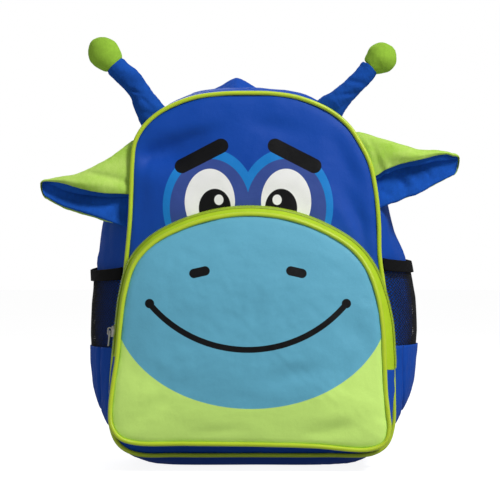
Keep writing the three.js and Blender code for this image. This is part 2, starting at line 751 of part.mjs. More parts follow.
// The pull hangs from the bridge by the end bar of its eye
function pullGeometry(frame) {
  const half = pullWidth / 2;
  const bar = pullBar / 2;
  const plate = shapeOf([
    [-half, bar],
    [half, bar],
    [half, -pullEye - bar],
    [half * 0.6, -pullEye - bar * 5],
    [half * 0.6, -pullLength + half * 0.4],
    [half * 0.3, -pullLength],
    [-half * 0.3, -pullLength],
    [-half * 0.6, -pullLength + half * 0.4],
    [-half * 0.6, -pullEye - bar * 5],
    [-half, -pullEye - bar],
  ]);
  const eye = half - pullBar;
  plate.holes.push(
    shapeOf([
      [-eye, -bar],
      [-eye, -pullEye],
      [eye, -pullEye],
      [eye, -bar],
    ]),
  );
  const height = sliderRise + (bridgeWall / 2 + bridgeClear) / 2;
  const pull = extruded(plate, height - bar, height + bar);
  return mergeVertices(toGeometry(toSolid(pull.applyMatrix4(frame))), 1e-5);
}

// Ears: a leaf folded over its ridge, drawn section by section along x
function earSection(ear, section) {
  const rootZ = seamLift + bodyHeight * ear.rise;
  const x = ear.side * (bodyHalfWidth * ear.root + ear.reach * section.along);
  const top = rootZ + earHeight * section.ridge;
  const front = rootZ + earHeight * section.plush;
  const rear = rootZ + earHeight * section.lobe;
  const half = earSpread * section.spread;
  const y = frontSeamY(top) + earSet;
  const fold = [
    [-0.86, mix(front, top, 0)],
    [-1, mix(front, top, 0.4)],
    [-0.76, mix(front, top, 0.8)],
    [-0.36, mix(front, top, 0.96)],
    [0.1, top],
    [0.56, top - half * 0.25],
    [0.9, mix(rear, top, 0.62)],
    [1.05, mix(rear, top, 0.28)],
    [0.98, rear],
  ];
  const path = fold.map(([out, z]) => new THREE.Vector3(x, y + out * half, z));
  const inward = path.map((p, i) => {
    const along = directionAt(path, i);
    return new THREE.Vector3(0, along.z, -along.y);
  });
  const layer = (depth, gap = 0) =>
    path.map((p, i) => p.clone().addScaledVector(inward[i], depth * section.spread + gap));
  const drop = earHeight * (section.plush - section.roll);
  return { layer, drop };
}

// The plush layer grown by a gap on its inside, or to its own size
function plushLeaf(ear, gap = 0) {
  const loops = ear.sections.map((section) => {
    const { layer } = earSection(ear, section);
    return [...layer(0, -gap), ...layer(earPlush, gap).reverse()];
  });
  return toSolid(sheetOf(loops));
}

function plushGeometry(ear) {
  return toGeometry(mainBody(plushLeaf(ear).subtract(bodyEnvelope).subtract(frontRoom)));
}

// The blue layer lies inside the plush one, and its front edge rolls out below it
function liningGeometry(ear) {
  const loops = ear.sections.map((section) => {
    const { layer, drop } = earSection(ear, section);
    const rows = [layer(earPlush, seamGap), layer(earPlush + earPad, seamGap)];
    for (const row of rows) {
      row.unshift(row[0].clone().setZ(row[0].z - drop));
      row[row.length - 1].lerp(row[row.length - 2], 0.2);
    }
    return [...rows[0], ...rows[1].reverse()];
  });
  const cover = plushLeaf(ear, seamGap);
  const lining = toSolid(sheetOf(loops)).subtract(cover).subtract(bodyEnvelope).subtract(frontRoom);
  return toGeometry(mainBody(lining));
}

// Horns: round sections along a line that bends in the plane of the seam, in two pieces with a joint
function hornPieces(horn) {
  const stations = [...horn.stalk, ...horn.ball];
  const joint = horn.stalk.length - 1;
  const rootX = horn.side * bodyHalfWidth * horn.root;
  const rootZ = seamLift + bodyHeight * horn.rootRise;
  const y = frontSeamY(rootZ) + hornSet;
  const line = stations.map(
    (s) => new THREE.Vector3(rootX + horn.side * horn.reach * s.across, y, rootZ + horn.climb * s.rise),
  );
  const deep = new THREE.Vector3(0, 1, 0);
  const directions = line.map((_, i) => directionAt(line, i));
  const loops = line.map((p, i) => {
    const side = directions[i].clone().cross(deep);
    const radius = hornBall * stations[i].girth;
    return Array.from({ length: hornSides }, (_, k) => {
      const turn = (2 * Math.PI * k) / hornSides;
      const flat = p.clone().addScaledVector(side, radius * Math.cos(turn));
      return flat.addScaledVector(deep, radius * Math.sin(turn));
    });
  });
  const start = loops[joint].map((p) => p.clone().addScaledVector(directions[joint], seamGap));
  return {
    stalk: seated(loft(loops.slice(0, joint + 1)), bodyEnvelope, frontRoom),
    ball: loft([start, ...loops.slice(joint + 1)]),
  };
}

function seated(geometry, ...envelopes) {
  const solid = envelopes.reduce((piece, envelope) => piece.subtract(envelope), toSolid(geometry));
  return toGeometry(mainBody(solid));
}

// Side pockets: sheets that stand off the gusset between their sewn front and back edges
const sideLoops = sidePocketShares.map((share) => ({ share, loop: bodyLoop(share) }));

function sideSurface(side, { share, loop }, z) {
  const at = loop.findIndex((p, i) => p.x * side > 0 && (p.z - z) * (loop[(i + 1) % loop.length].z - z) <= 0);
  const [a, b] = [loop[at], loop[(at + 1) % loop.length]];
  return new THREE.Vector3(mix(a.x, b.x, (z - a.z) / (b.z - a.z)), mix(frontSeamY(z), 0, share), z);
}

function sideSheet({ side, top, bulge }, heights, wall, foot = false) {
  const last = sideLoops.length - 1;
  const swellAt = (z) => {
    const rise = (z - sidePocketBottom) / (top - sidePocketBottom);
    const at = Math.max(sidePocketSwell.findIndex((s) => s.rise >= rise), 1);
    const [low, high] = [sidePocketSwell[at - 1], sidePocketSwell[at]];
    return bulge * mix(low.out, high.out, (rise - low.rise) / (high.rise - low.rise));
  };
  const grid = (depth) =>
    heights.map((z, i) =>
      sideLoops.map((column, j) => {
        const p = sideSurface(side, column, z);
        const edge = j === 0 || j === last || (foot && i === 0);
        const round = Math.sin((Math.PI * j) / last) ** 0.5;
        const off = edge ? -2 * clothWall : wall + 2 * seamGap + swellAt(z) * round;
        return p.setX(p.x + side * (off - depth));
      }),
    );
  return thickSheet(grid(0), grid(wall));
}

function steps(from, to, count) {
  return Array.from({ length: count + 1 }, (_, i) => mix(from, to, i / count));
}

function netGeometry(pocket) {
  const { side, bottom, top } = pocket;
  const low = bottom + seamGap;
  const high = top - bindingHeight - seamGap;
  const sheet = toSolid(sideSheet(pocket, steps(low, high, 4), netWall));
  const half = netGap / 2;
  const diamond = shapeOf([
    [half, 0],
    [0, half],
    [-half, 0],
    [0, -half],
  ]);
  const [x, y, z] = [0, 1, 2].map((i) => new THREE.Vector3().setComponent(i, 1));
  const turn = new THREE.Matrix4().makeBasis(y, z, x);
  const rows = Math.floor((high - low - netGap - 2 * clothWall) / (netPitch / 2));
  const rowStart = (low + high - (rows * netPitch) / 2) / 2;
  const columns = Math.floor((0.9 * bodyDepth - netGap) / netPitch);
  const middleY = frontSeamY(low) * 0.5;
  const holes = [];
  for (let row = 0; row <= rows; row++) {
    const count = row % 2 ? columns - 1 : columns;
    for (let column = 0; column < count; column++) {
      const place = middleY + (column - (count - 1) / 2) * netPitch;
      const hole = extruded(diamond, 0, 2 * bodyDepth).applyMatrix4(turn);
      hole.translate(side > 0 ? 0 : -2 * bodyDepth, place, rowStart + (row * netPitch) / 2);
      holes.push(toSolid(hole));
    }
  }
  const cut = sheet.subtract(bodyEnvelope).subtract(wasm.Manifold.union(holes));
  return toGeometry(mainBody(cut));
}

// A band along a line of points: its width lies along across, its wall along the line's own normal
function bandAlong(line, across, widths, walls) {
  const loops = line.map((p, i) => {
    const along = directionAt(line, i);
    const wide = across(i).clone().addScaledVector(along, -across(i).dot(along)).normalize();
    const out = along.clone().cross(wide);
    const corner = (w, t) =>
      p.clone().addScaledVector(wide, (w * widths(i)) / 2).addScaledVector(out, (t * walls(i)) / 2);
    return [corner(-1, -1), corner(1, -1), corner(1, 1), corner(-1, 1)];
  });
  return loft(loops);
}

// Shoulder straps
function strapParts(side) {
  const line = strapStations.map(
    (s) =>
      new THREE.Vector3(
        side * bodyHalfWidth * s.across,
        backPad + strapReach * s.out,
        seamLift + bodyHeight * s.rise,
      ),
  );
  const deepest = Math.max(...strapStations.map((s) => s.pad));
  const loops = line.map((p, i) => {
    const { width, pad } = strapStations[i];
    const along = directionAt(line, i);
    const wide = new THREE.Vector3(1, 0, 0).addScaledVector(along, -along.x).normalize();
    const out = along.clone().cross(wide);
    const w = (strapWidth * width) / 2;
    const t = (strapPad * Math.min(pad, deepest)) / 2;
    const section = [
      [-1, -0.35],
      [-0.86, -1],
      [0.86, -1],
      [1, -0.35],
      [1, 0.35],
      [0.86, 1],
      [-0.86, 1],
      [-1, 0.35],
    ];
    return section.map(([a, b]) => p.clone().addScaledVector(wide, a * w).addScaledVector(out, b * t));
  });
  const padBody = toSolid(loft(loops)).subtract(backEnvelope);

  // Frame of the buckle: x across, y up the strap, z away from the back
  const end = line[line.length - 1];
  const anchor = new THREE.Vector3(
    side * bodyHalfWidth * anchorPlace.across,
    backPad + 2 * (clothWall + seamGap),
    seamLift + bodyHeight * anchorPlace.rise + anchorSide * 0.25,
  );
  const up = end.clone().sub(anchor).normalize();
  const wide = new THREE.Vector3(1, 0, 0).addScaledVector(up, -up.x).normalize();
  const out = wide.clone().cross(up).normalize();
  const frame = new THREE.Matrix4().makeBasis(wide, up, out);
  frame.setPosition(end.clone().addScaledVector(up, -buckleDrop));
  const placed = (points) => points.map(([y, z]) => new THREE.Vector3(0, y, z).applyMatrix4(frame));

  const pitch = buckleBar + buckleWindow;
  const halfWide = webbingWidth / 2 + 1;
  const outerWide = halfWide + buckleBar * 0.9;
  const plate = shapeOf([
    [-outerWide, -pitch - buckleBar / 2],
    [outerWide, -pitch - buckleBar / 2],
    [outerWide, pitch + buckleBar / 2],
    [-outerWide, pitch + buckleBar / 2],
  ]);
  for (const middle of [-pitch / 2, pitch / 2]) {
    const [low, high] = [middle - buckleWindow / 2, middle + buckleWindow / 2];
    plate.holes.push(
      shapeOf([
        [-halfWide, low],
        [-halfWide, high],
        [halfWide, high],
        [halfWide, low],
      ]),
    );
  }
  const buckle = extruded(plate, -bucklePlate / 2, bucklePlate / 2).applyMatrix4(frame);

  // Both bands turn round a bar of the buckle, clear of it by the same small distance
  const turn = bucklePlate / 2 + seamGap + webbingWall / 2;
  const over = buckleBar / 2 + seamGap + webbingWall / 2;
  const corner = 1.2;
  const topBar = pitch;
  const lowBar = -pitch;
  const tabLine = placed([
    [buckleDrop + 9, -0.9],
    [topBar + over + 3.5, -turn * 0.75],
    [topBar + 1.5, -turn],
    [topBar - over + corner, -turn],
    [topBar - over, -turn + corner],
    [topBar - over, turn - corner],
    [topBar - over + corner, turn],
    [topBar + 1.5, turn],
    [topBar + over + 3.5, turn * 0.75],
    [buckleDrop + 9, 0.9],
  ]);
  const band = (points, width) => bandAlong(points, () => wide, () => width, () => webbingWall);
  const strap = padBody.add(toSolid(band(tabLine, webbingWidth)));

  const turned = placed([
    [lowBar - 9, -turn],
    [lowBar + over - corner, -turn],
    [lowBar + over, -turn + corner],
    [lowBar + over, turn - corner],
    [lowBar + over - corner, turn],
    [lowBar - 9, turn + 0.4],
    [lowBar - 30, turn + 2.5],
    [lowBar - 52, turn + 3],
  ]);
  const [from, to] = [anchor, turned[0]];
  const sag = [0, 0.12, 0.3, 0.55, 0.8].map((share) => {
    const p = from.clone().lerp(to, share);
    return p.setY(p.y - 7 * Math.sin(Math.PI * share) * (1 - share));
  });
  for (const p of sag) p.y = Math.max(p.y, anchor.y);
  const webbing = band([...sag, ...turned], webbingWidth);

  const half = anchorSide / 2;
  const tab = shapeOf([
    [-half, -half * 0.7],
    [half, -half * 0.7],
    [webbingWidth * 0.6, half],
    [-webbingWidth * 0.6, half],
  ]);
  const flat = new THREE.Matrix4().makeBasis(
    new THREE.Vector3(1, 0, 0),
    new THREE.Vector3(0, 0, 1),
    new THREE.Vector3(0, -1, 0),
  );
  const tabSolid = extruded(tab, -(backPad + seamGap + clothWall), 0).applyMatrix4(flat);
  tabSolid.translate(anchor.x, 0, seamLift + bodyHeight * anchorPlace.rise);
  return {
    strap: toGeometry(mainBody(strap)),
    buckle: toGeometry(toSolid(buckle)),
    webbing,
    tab: seated(tabSolid, backEnvelope),
  };
}

// Grab handle
function handleGeometry() {
  const top = backRimLoop.reduce((best, p) => Math.max(best, p.z), 0);
  const line = handleStations.map(
    (s) => new THREE.Vector3(bodyHalfWidth * s.across, handleWall / 2, top + handleRise * s.rise),
  );
  const across = (i) => {
    const tilt = THREE.MathUtils.degToRad(handleStations[i].tilt);
    return new THREE.Vector3(0, Math.cos(tilt), Math.sin(tilt));
  };
  return bandAlong(line, across, () => handleWidth, () => handleWall);
}

// Assembly
const group = new THREE.Group();
group.name = "kids_animal_backpack";

function addPiece(name, geometry, color, roughness, metalness = 0) {
  const piece = new THREE.Mesh(geometry, new THREE.MeshStandardMaterial({ color, roughness, metalness }));
  piece.name = name;
  group.add(piece);
}

addPiece("main_front_panel", crownedPanel(frontRim, frontCentre, frontSurfaceY, clothWall), colours.blueCloth, 0.6);
addPiece("main_piping", pipingAlong(frontSeam, pipingRadius), colours.limePiping, 0.6);
addPiece("main_gusset", makeMainGusset(), colours.blueCloth, 0.85);
addPiece("main_zipper", makeMainZip(), colours.limeZip, 0.8);
const mainFrame = coilFrame(bodyLoop, mainZipPlace, mainSliderHeight);
addPiece("main_slider", sliderGeometry(mainFrame, mainZipRows), colours.metal, 0.3, 1);
addPiece("back_panel", backPanel(), colours.blueCloth, 0.9);

addPiece("pocket_front_panel", crownedPanel(pocketRim, pocketCentre, pocketSurfaceY, clothWall), colours.limeCloth, 0.6);
addPiece("pocket_piping", pipingAlong(pocketSeam, pipingRadius), colours.limePiping, 0.6);
addPiece("pocket_gusset", makePocketGusset(), colours.blueCloth, 0.85);
addPiece("pocket_zipper", makePocketZip(), colours.limeZip, 0.8);
const pocketFrame = coilFrame(pocketLoop, 0.5, pocketSliderHeight);
addPiece("pocket_slider", sliderGeometry(pocketFrame, pocketZipRows), colours.metal, 0.3, 1);
addPiece("pocket_pull", pullGeometry(pocketFrame), colours.metal, 0.3, 1);

for (const ear of ears) {
  addPiece(`ear_${ear.name}_outer`, plushGeometry(ear), colours.limePlush, 0.95);
  addPiece(`ear_${ear.name}_inner`, liningGeometry(ear), colours.bluePlush, 0.95);
}

for (const horn of horns) {
  const { stalk, ball } = hornPieces(horn);
  addPiece(`horn_${horn.name}_stalk`, stalk, colours.bluePlush, 0.95);
  addPiece(`horn_${horn.name}_tip`, ball, colours.limePlush, 0.95);
}

const sidePockets = [
  { name: "left", side: -1, bottom: netBottomLeft, top: netTopLeft, bulge: sidePocketBulgeLeft },
  { name: "right", side: 1, bottom: netBottomRight, top: netTopRight, bulge: sidePocketBulgeRight },
];
for (const pocket of sidePockets) {
  const { name, bottom, top } = pocket;
  const foot = [0, 0.04, 0.16, 0.34, 0.64, 1].map((share) => mix(sidePocketBottom, bottom, share));
  const base = seated(sideSheet(pocket, foot, clothWall, true), bodyEnvelope);
  const binding = seated(sideSheet(pocket, steps(top - bindingHeight, top, 1), bindingWall), bodyEnvelope);
  addPiece(`side_pocket_base_${name}`, base, colours.blueCloth, 0.85);
  addPiece(`side_net_${name}`, netGeometry(pocket), colours.blackNet, 0.85);
  addPiece(`side_band_${name}`, binding, colours.blackNet, 0.7);
}

for (const { name, side } of sidePockets) {
  const { strap, buckle, webbing, tab } = strapParts(side);
  addPiece(`shoulder_strap_${name}`, strap, colours.blueCloth, 0.9);
  addPiece(`strap_adjuster_${name}`, buckle, colours.blackPlastic, 0.4);
  addPiece(`strap_webbing_${name}`, webbing, colours.blackNet, 0.75);
  addPiece(`strap_anchor_${name}`, tab, colours.blueCloth, 0.9);
}
addPiece("grab_handle", seated(handleGeometry(), bodyEnvelope, backEnvelope), colours.blueCloth, 0.85);

// The frame's origin lies under the middle of the object's box
const box = new THREE.Box3().setFromObject(group);
const shift = box.getCenter(new THREE.Vector3()).setZ(box.min.z).negate();
for (const piece of group.children) piece.geometry.translate(shift.x, shift.y, shift.z);

export default group;
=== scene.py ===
import math

import bpy
import numpy as np
from bpy.props import FloatProperty, FloatVectorProperty, IntProperty, PointerProperty
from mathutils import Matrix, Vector, noise


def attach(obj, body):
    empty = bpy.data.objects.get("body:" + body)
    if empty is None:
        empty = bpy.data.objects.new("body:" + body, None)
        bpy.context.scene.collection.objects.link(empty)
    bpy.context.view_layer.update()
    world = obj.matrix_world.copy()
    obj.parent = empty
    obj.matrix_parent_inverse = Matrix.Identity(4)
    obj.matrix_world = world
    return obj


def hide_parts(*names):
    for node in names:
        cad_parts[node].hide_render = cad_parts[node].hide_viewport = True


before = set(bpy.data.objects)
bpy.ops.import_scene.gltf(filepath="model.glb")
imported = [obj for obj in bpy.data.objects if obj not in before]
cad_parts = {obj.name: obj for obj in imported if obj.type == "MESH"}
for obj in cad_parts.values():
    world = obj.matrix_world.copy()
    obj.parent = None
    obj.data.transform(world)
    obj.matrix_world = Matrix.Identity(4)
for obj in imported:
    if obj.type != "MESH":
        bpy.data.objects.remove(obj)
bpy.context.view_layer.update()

bl_info = {
    "name": "Kids animal backpack",
    "version": (1, 0, 0),
    "blender": (4, 5, 0),
    "location": "3D View > Sidebar > Backpack",
    "description": "Sews a children's animal backpack over its solid frame",
    "category": "Object",
}

# The patterns below are in millimetres, with the back seam's plane at y 0. SHIFT takes them to the frame.
MM = 0.001
SHIFT = np.array([0.003, 45.31, 0.0])

# Body
BODY_HEIGHT = 362
BODY_HALF_WIDTH = 143
BODY_DEPTH = 110
FRONT_LEAN = 12
SEAM_LIFT = 13.5
GUSSET_BULGE = 14
FRONT_CROWN = 12
FRONT_CENTRE = (0, SEAM_LIFT + BODY_HEIGHT * 0.48)
SEAM_GAP = 0.3
PIPING_RADIUS = 2.2
MAIN_ZIP_PLACE = 0.67
MAIN_ZIP_END_LEFT = 252
MAIN_ZIP_END_RIGHT = 270
TAPE_RISES = (0.3, 0.7, 0.8, 0.9, 0.9, 0.9, 0.8, 0.7, 0.3)

# Pocket
POCKET_HEIGHT = 229
POCKET_HALF_WIDTH = 137
POCKET_LIFT = 24.5
POCKET_DEPTH_TOP = 28
POCKET_DEPTH_BOTTOM = 40
POCKET_FLARE = 9
POCKET_BULGE = 2.5
POCKET_CROWN = 12
POCKET_CENTRE = (0, POCKET_LIFT + POCKET_HEIGHT * 0.5)
ZIP_END_LEFT = 113
ZIP_END_RIGHT = 100
ZIP_WIDTH = 27
COIL_WIDTH = 6
COIL_LEVEL = 0.72
COIL_WAVE = 0.28
COIL_PROFILE = [(-1.0, 0.5), (-0.82, 1.25), (-0.4, 1.9), (0.0, 1.55), (0.4, 1.9), (0.82, 1.25), (1.0, 0.5)]

# Cloth and yarn thicknesses
CLOTH_WALL = 1.2
MAIN_TAPE_WALL = 0.7
POCKET_SIDE_WALL = 1.1
SIDE_POCKET_WALL = 1.3
BACK_MESH_WALL = 1.5
ELASTIC_WALL = 2.2
NET_YARN = 0.85

# Front panels: how far their edge lies inside the seam and before it, how deep it tucks in behind the piping,
# and their rings of points as shares of the way from the centre to the edge
PANEL_INSET = 0.9
PANEL_PROUD = 0.6
PANEL_TUCK = 2.0
TUCK_REACH = 2.6
PANEL_RINGS = [1, 0.985, 0.965, 0.94, *np.linspace(0.91, 0.02, 40), 0]

# Back: how far its upright seams lie from the middle, how high its level seams lie and how far they run to
# each side, how deep and wide they are, how far the padding swells between them, and how far out it gets
BACK_SEAMS = (-46, 46)
BACK_LEVELS = (120, 250)
BACK_LEVEL_REACH = 52
BACK_SEAM_DEPTH = 3.4
BACK_SEAM_HALF_WIDTH = 3.2
BACK_SWELL = 0.8
BACK_FURTHEST = 8.6

# The back's rings of points: shares of the way from the centre to the rim, and how far out the padding stands
BACK_RINGS = [(1.0, 0.0), (1.003, 1.5), (0.998, 3.2), (0.985, 4.8), (0.965, 6.4), (0.94, 7.2)]
BACK_RINGS += [(share, 7.6) for share in (*np.linspace(0.91, 0.03, 40), 0.0)]

# Widths and lengths that the cloth is cut to, in metres, and the least share of them that a piece takes up
CUTS = {
    "front_panel": (0.29, 0.375),
    "gusset": (0.12, 1.22),
    "pocket_panel": (0.275, 0.235),
    "pocket_side": (0.04, 0.44),
}
LEAST_CUT = 0.31

# Print: its middle, the eyes' distance from it, the smile's ring and an edge's softness. The weave's pitch.
FACE_MIDDLE = -2
EYE_SPREAD = 38
SMILE_RADIUS = 126.4
SMILE_HALF_WIDTH = 2.9
PRINT_EDGE = 0.35
WEAVE_PITCH = 0.75

# Printed eyes, the outermost oval first: its middle, its reach and its colour. A place on the face is its
# distance from the face's middle and its height, and the brows and nostrils run between two such places.
EYE_OVALS = [
    ((EYE_SPREAD, 262), (47, 57), "bright_blue"),
    ((EYE_SPREAD, 260), (40, 49), "violet_blue"),
    ((EYE_SPREAD, 266), (25, 33), "white"),
    ((EYE_SPREAD - 5, 260), (16, 19), "black"),
    ((EYE_SPREAD - 9, 268), (4.6, 5.2), "white"),
]
BROW = [(66, 302), (27, 322)]
BROW_HALF_WIDTH = 7.4
NOSTRIL = [(53, 195), (42, 197.5)]
NOSTRIL_HALF_WIDTH = 4.6
MUZZLE_MIDDLE = (1, 167)
MUZZLE_REACH = (136, 104)
SMILE_MIDDLE = 247
SMILE_TOP = 166
SMILE_END = (96.5, 165.5)
SMILE_END_REACH = (4.6, 4.6)

# Camera in metres, and the lamps' names, places, sizes and powers
CAMERA_PLACE = (0, -2.0587, 0.218)
CAMERA_LENS = 144
LAMPS = [
    ("key", (1.2, -1.3, 1.75), 0.5, 40),
    ("fill", (-1.7, -1.4, 0.7), 1.6, 4),
    ("top", (0.2, 0.1, 1.9), 1.2, 4),
    ("back", (-0.6, 1.7, 1.4), 1.2, 12),
]

# Points round the body's seams, round the pocket's, and round either for a zip's coil
BODY_POINTS = 176
POCKET_POINTS = 168
COIL_POINTS = 4000


def table(columns, *rows):
    """Named columns of numbers."""
    return dict(zip(columns.split(), np.array(rows, float).T))


# Half outlines of the body's seams, from the bottom's middle round the side to the top's middle, as shares of
# the half width, the height and the gusset's bulge
BODY = table(
    "left right rise back_left back_right back_rise bulge",
    (0.0, 0.0, 0.0, 0.0, 0.0, -0.021, 1.0),
    (0.5, 0.52, 0.0, 0.5, 0.5, -0.021, 1.0),
    (0.8, 0.85, 0.004, 0.77, 0.79, -0.018, 0.5),
    (0.915, 0.952, 0.03, 0.885, 0.905, 0.014, 0.2),
    (0.97, 0.997, 0.08, 0.98, 0.99, 0.068, 0.15),
    (0.972, 1.003, 0.16, 1.055, 1.08, 0.15, 0.22),
    (0.944, 0.987, 0.31, 1.09, 1.122, 0.3, 0.15),
    (0.885, 0.937, 0.46, 1.09, 1.118, 0.46, 0.2),
    (0.862, 0.907, 0.55, 1.09, 1.08, 0.55, 0.4),
    (0.842, 0.902, 0.64, 1.046, 0.995, 0.64, 0.5),
    (0.832, 0.881, 0.728, 0.975, 0.935, 0.728, 0.5),
    (0.825, 0.84, 0.805, 0.91, 0.87, 0.8, 0.45),
    (0.807, 0.77, 0.862, 0.84, 0.765, 0.862, 0.2),
    (0.74, 0.69, 0.909, 0.745, 0.675, 0.908, 0.25),
    (0.615, 0.56, 0.951, 0.6, 0.555, 0.946, 0.45),
    (0.405, 0.35, 0.986, 0.39, 0.36, 0.977, 0.7),
    (0.2, 0.17, 0.998, 0.19, 0.18, 0.988, 0.72),
    (0.0, 0.0, 1.0, 0.0, 0.0, 0.99, 0.72),
)

# Half outlines of the pocket's front seam, as shares of its half width and height, how far its side spreads
# towards the body, as a share of its flare, and how far the right side puffs out, in millimetres
POCKET = table(
    "left left_rise right right_rise flare puff",
    (0.0, 0.015, 0.0, 0.015, 0.55, 0.0),
    (0.45, 0.018, 0.45, 0.008, 0.5, 0.0),
    (0.83, 0.022, 0.86, -0.006, 0.25, 0.0),
    (0.935, 0.045, 0.965, 0.024, 0.1, 0.0),
    (0.987, 0.09, 0.995, 0.08, 0.15, 0.0),
    (0.999, 0.15, 0.988, 0.14, 0.25, 2.4),
    (0.985, 0.25, 0.972, 0.23, 0.4, 5.4),
    (0.952, 0.385, 0.963, 0.37, 0.6, 6.6),
    (0.93, 0.53, 0.95, 0.53, 0.6, 5.8),
    (0.9, 0.66, 0.912, 0.66, 0.65, 3.6),
    (0.832, 0.785, 0.845, 0.765, 0.85, 1.8),
    (0.7, 0.873, 0.735, 0.85, 0.95, 0.4),
    (0.5, 0.938, 0.53, 0.927, 1.0, 0.0),
    (0.26, 0.983, 0.28, 0.981, 1.0, 0.0),
    (0.0, 1.0, 0.0, 1.0, 1.0, 0.0),
)

# Soft dents and pulled folds of the two fronts: their middle, their reach along and across, the turn of their
# long side in degrees, and how far they sink, in millimetres
FRONT_DENTS = table(
    "x z along across turn depth",
    (-86, 315, 40, 14, 8, 12.0),
    (-56, 331, 22, 7, 16, 4.5),
    (-119, 288, 44, 11, 88, 4.4),
    (-108, 332, 22, 8, 50, 2.4),
    (26, 340, 26, 9, -12, 2.6),
    (97, 300, 34, 12, -68, 3.0),
    (101, 262, 30, 8, -62, 2.6),
    (112, 236, 26, 7, -74, 2.0),
)
POCKET_DENTS = table(
    "x z along across turn depth",
    (49, 98, 26, 9, 16, 3.4),
    (90, 97, 16, 8, 60, 2.6),
    (119, 167, 9, 2.6, -16, 1.8),
    (124, 152, 10, 2.6, -4, 1.6),
    (84, 43, 26, 8, 14, 3.0),
    (-30, 40, 20, 5, 10, 1.8),
    (-100, 60, 30, 9, 40, 3.0),
    (-84, 92, 30, 14, -20, 1.9),
    (-20, 150, 60, 22, 20, 1.8),
    (100, 140, 22, 12, -50, 1.8),
    (30, 205, 50, 14, -8, 1.4),
)

# Folded ears, from the seam to the tip. Each hangs over its ridge in two leaves: the plush front leaf ends at
# plush, its turned-over blue edge at roll, and the longer rear leaf at lobe. along is a share of the ear's
# reach, heights are shares of EAR_HEIGHT over its root, and spread is a share of EAR_SPREAD.
EAR_HEIGHT = 85
EAR_SPREAD = 13
EAR_PLUSH = 2.4
EAR_PAD = 5
EAR_SET = 8
EAR_TIP = 7.0
EAR_TIP_RINGS = (0.3, 0.5, 0.68, 0.82, 0.92, 0.98, 1.0)
EAR_TABLES = {
    "left": table(
        "along ridge plush roll lobe spread",
        (-0.08, 1.0, 0.385, 0.35, 0.0, 0.35),
        (0.0, 1.0, 0.385, 0.35, 0.0, 0.35),
        (0.14, 0.905, 0.39, 0.346, 0.028, 0.6),
        (0.3, 0.797, 0.395, 0.341, 0.06, 0.85),
        (0.47, 0.703, 0.416, 0.355, 0.115, 1.0),
        (0.64, 0.623, 0.46, 0.381, 0.162, 0.9),
        (0.8, 0.592, 0.508, 0.425, 0.215, 0.75),
        (0.92, 0.572, 0.525, 0.473, 0.275, 0.62),
        (1.0, 0.556, 0.53, 0.5, 0.325, 0.5),
    ),
    "right": table(
        "along ridge plush roll lobe spread",
        (-0.08, 0.974, 0.371, 0.326, 0.035, 0.35),
        (0.0, 0.974, 0.371, 0.326, 0.035, 0.35),
        (0.14, 0.938, 0.467, 0.418, 0.085, 0.6),
        (0.3, 0.892, 0.57, 0.515, 0.143, 0.85),
        (0.47, 0.835, 0.629, 0.566, 0.211, 1.0),
        (0.64, 0.785, 0.666, 0.594, 0.276, 0.95),
        (0.8, 0.778, 0.711, 0.636, 0.37, 0.8),
        (0.92, 0.762, 0.725, 0.65, 0.438, 0.62),
        (1.0, 0.74, 0.705, 0.66, 0.48, 0.5),
    ),
}
EARS = {
    "left": {"side": -1, "root": 0.825, "reach": 86, "rise": 0.631, "hang": -0.9},
    "right": {"side": 1, "root": 0.783, "reach": 92, "rise": 0.66, "hang": 0.4},
}
# Folds of the ears' front leaves, and of the blue rear leaves under them
EAR_FOLDS = {
    "left": table(
        "x z along across turn depth",
        (-143, 291, 24, 3.0, -12, 3.4),
        (-150, 282, 40, 5.0, -6, -2.4),
        (-134, 306, 20, 9, 40, 1.4),
    ),
    "right": table(
        "x z along across turn depth",
        (127, 312, 16, 2.6, -66, 2.2),
        (135, 303, 16, 3.4, -58, -2.0),
        (121, 319, 12, 3.0, -60, -1.4),
        (160, 311, 34, 8, -10, -1.8),
    ),
}
LOBE_FOLDS = {
    "left": table(
        "x z along across turn depth",
        (-176, 268, 8, 2.6, 72, 0.8),
        (-163, 266, 9, 3.0, 60, -0.8),
        (-146, 263, 18, 3.0, 12, 1.2),
        (-130, 254, 12, 3.4, 70, 1.4),
    ),
    "right": table(
        "x z along across turn depth",
        (154, 285, 10, 2.8, -70, 3.0),
        (162, 288, 11, 3.0, -66, -1.8),
        (178, 296, 10, 2.6, -66, 1.4),
        (134, 276, 15, 3.4, -35, 1.5),
    ),
}

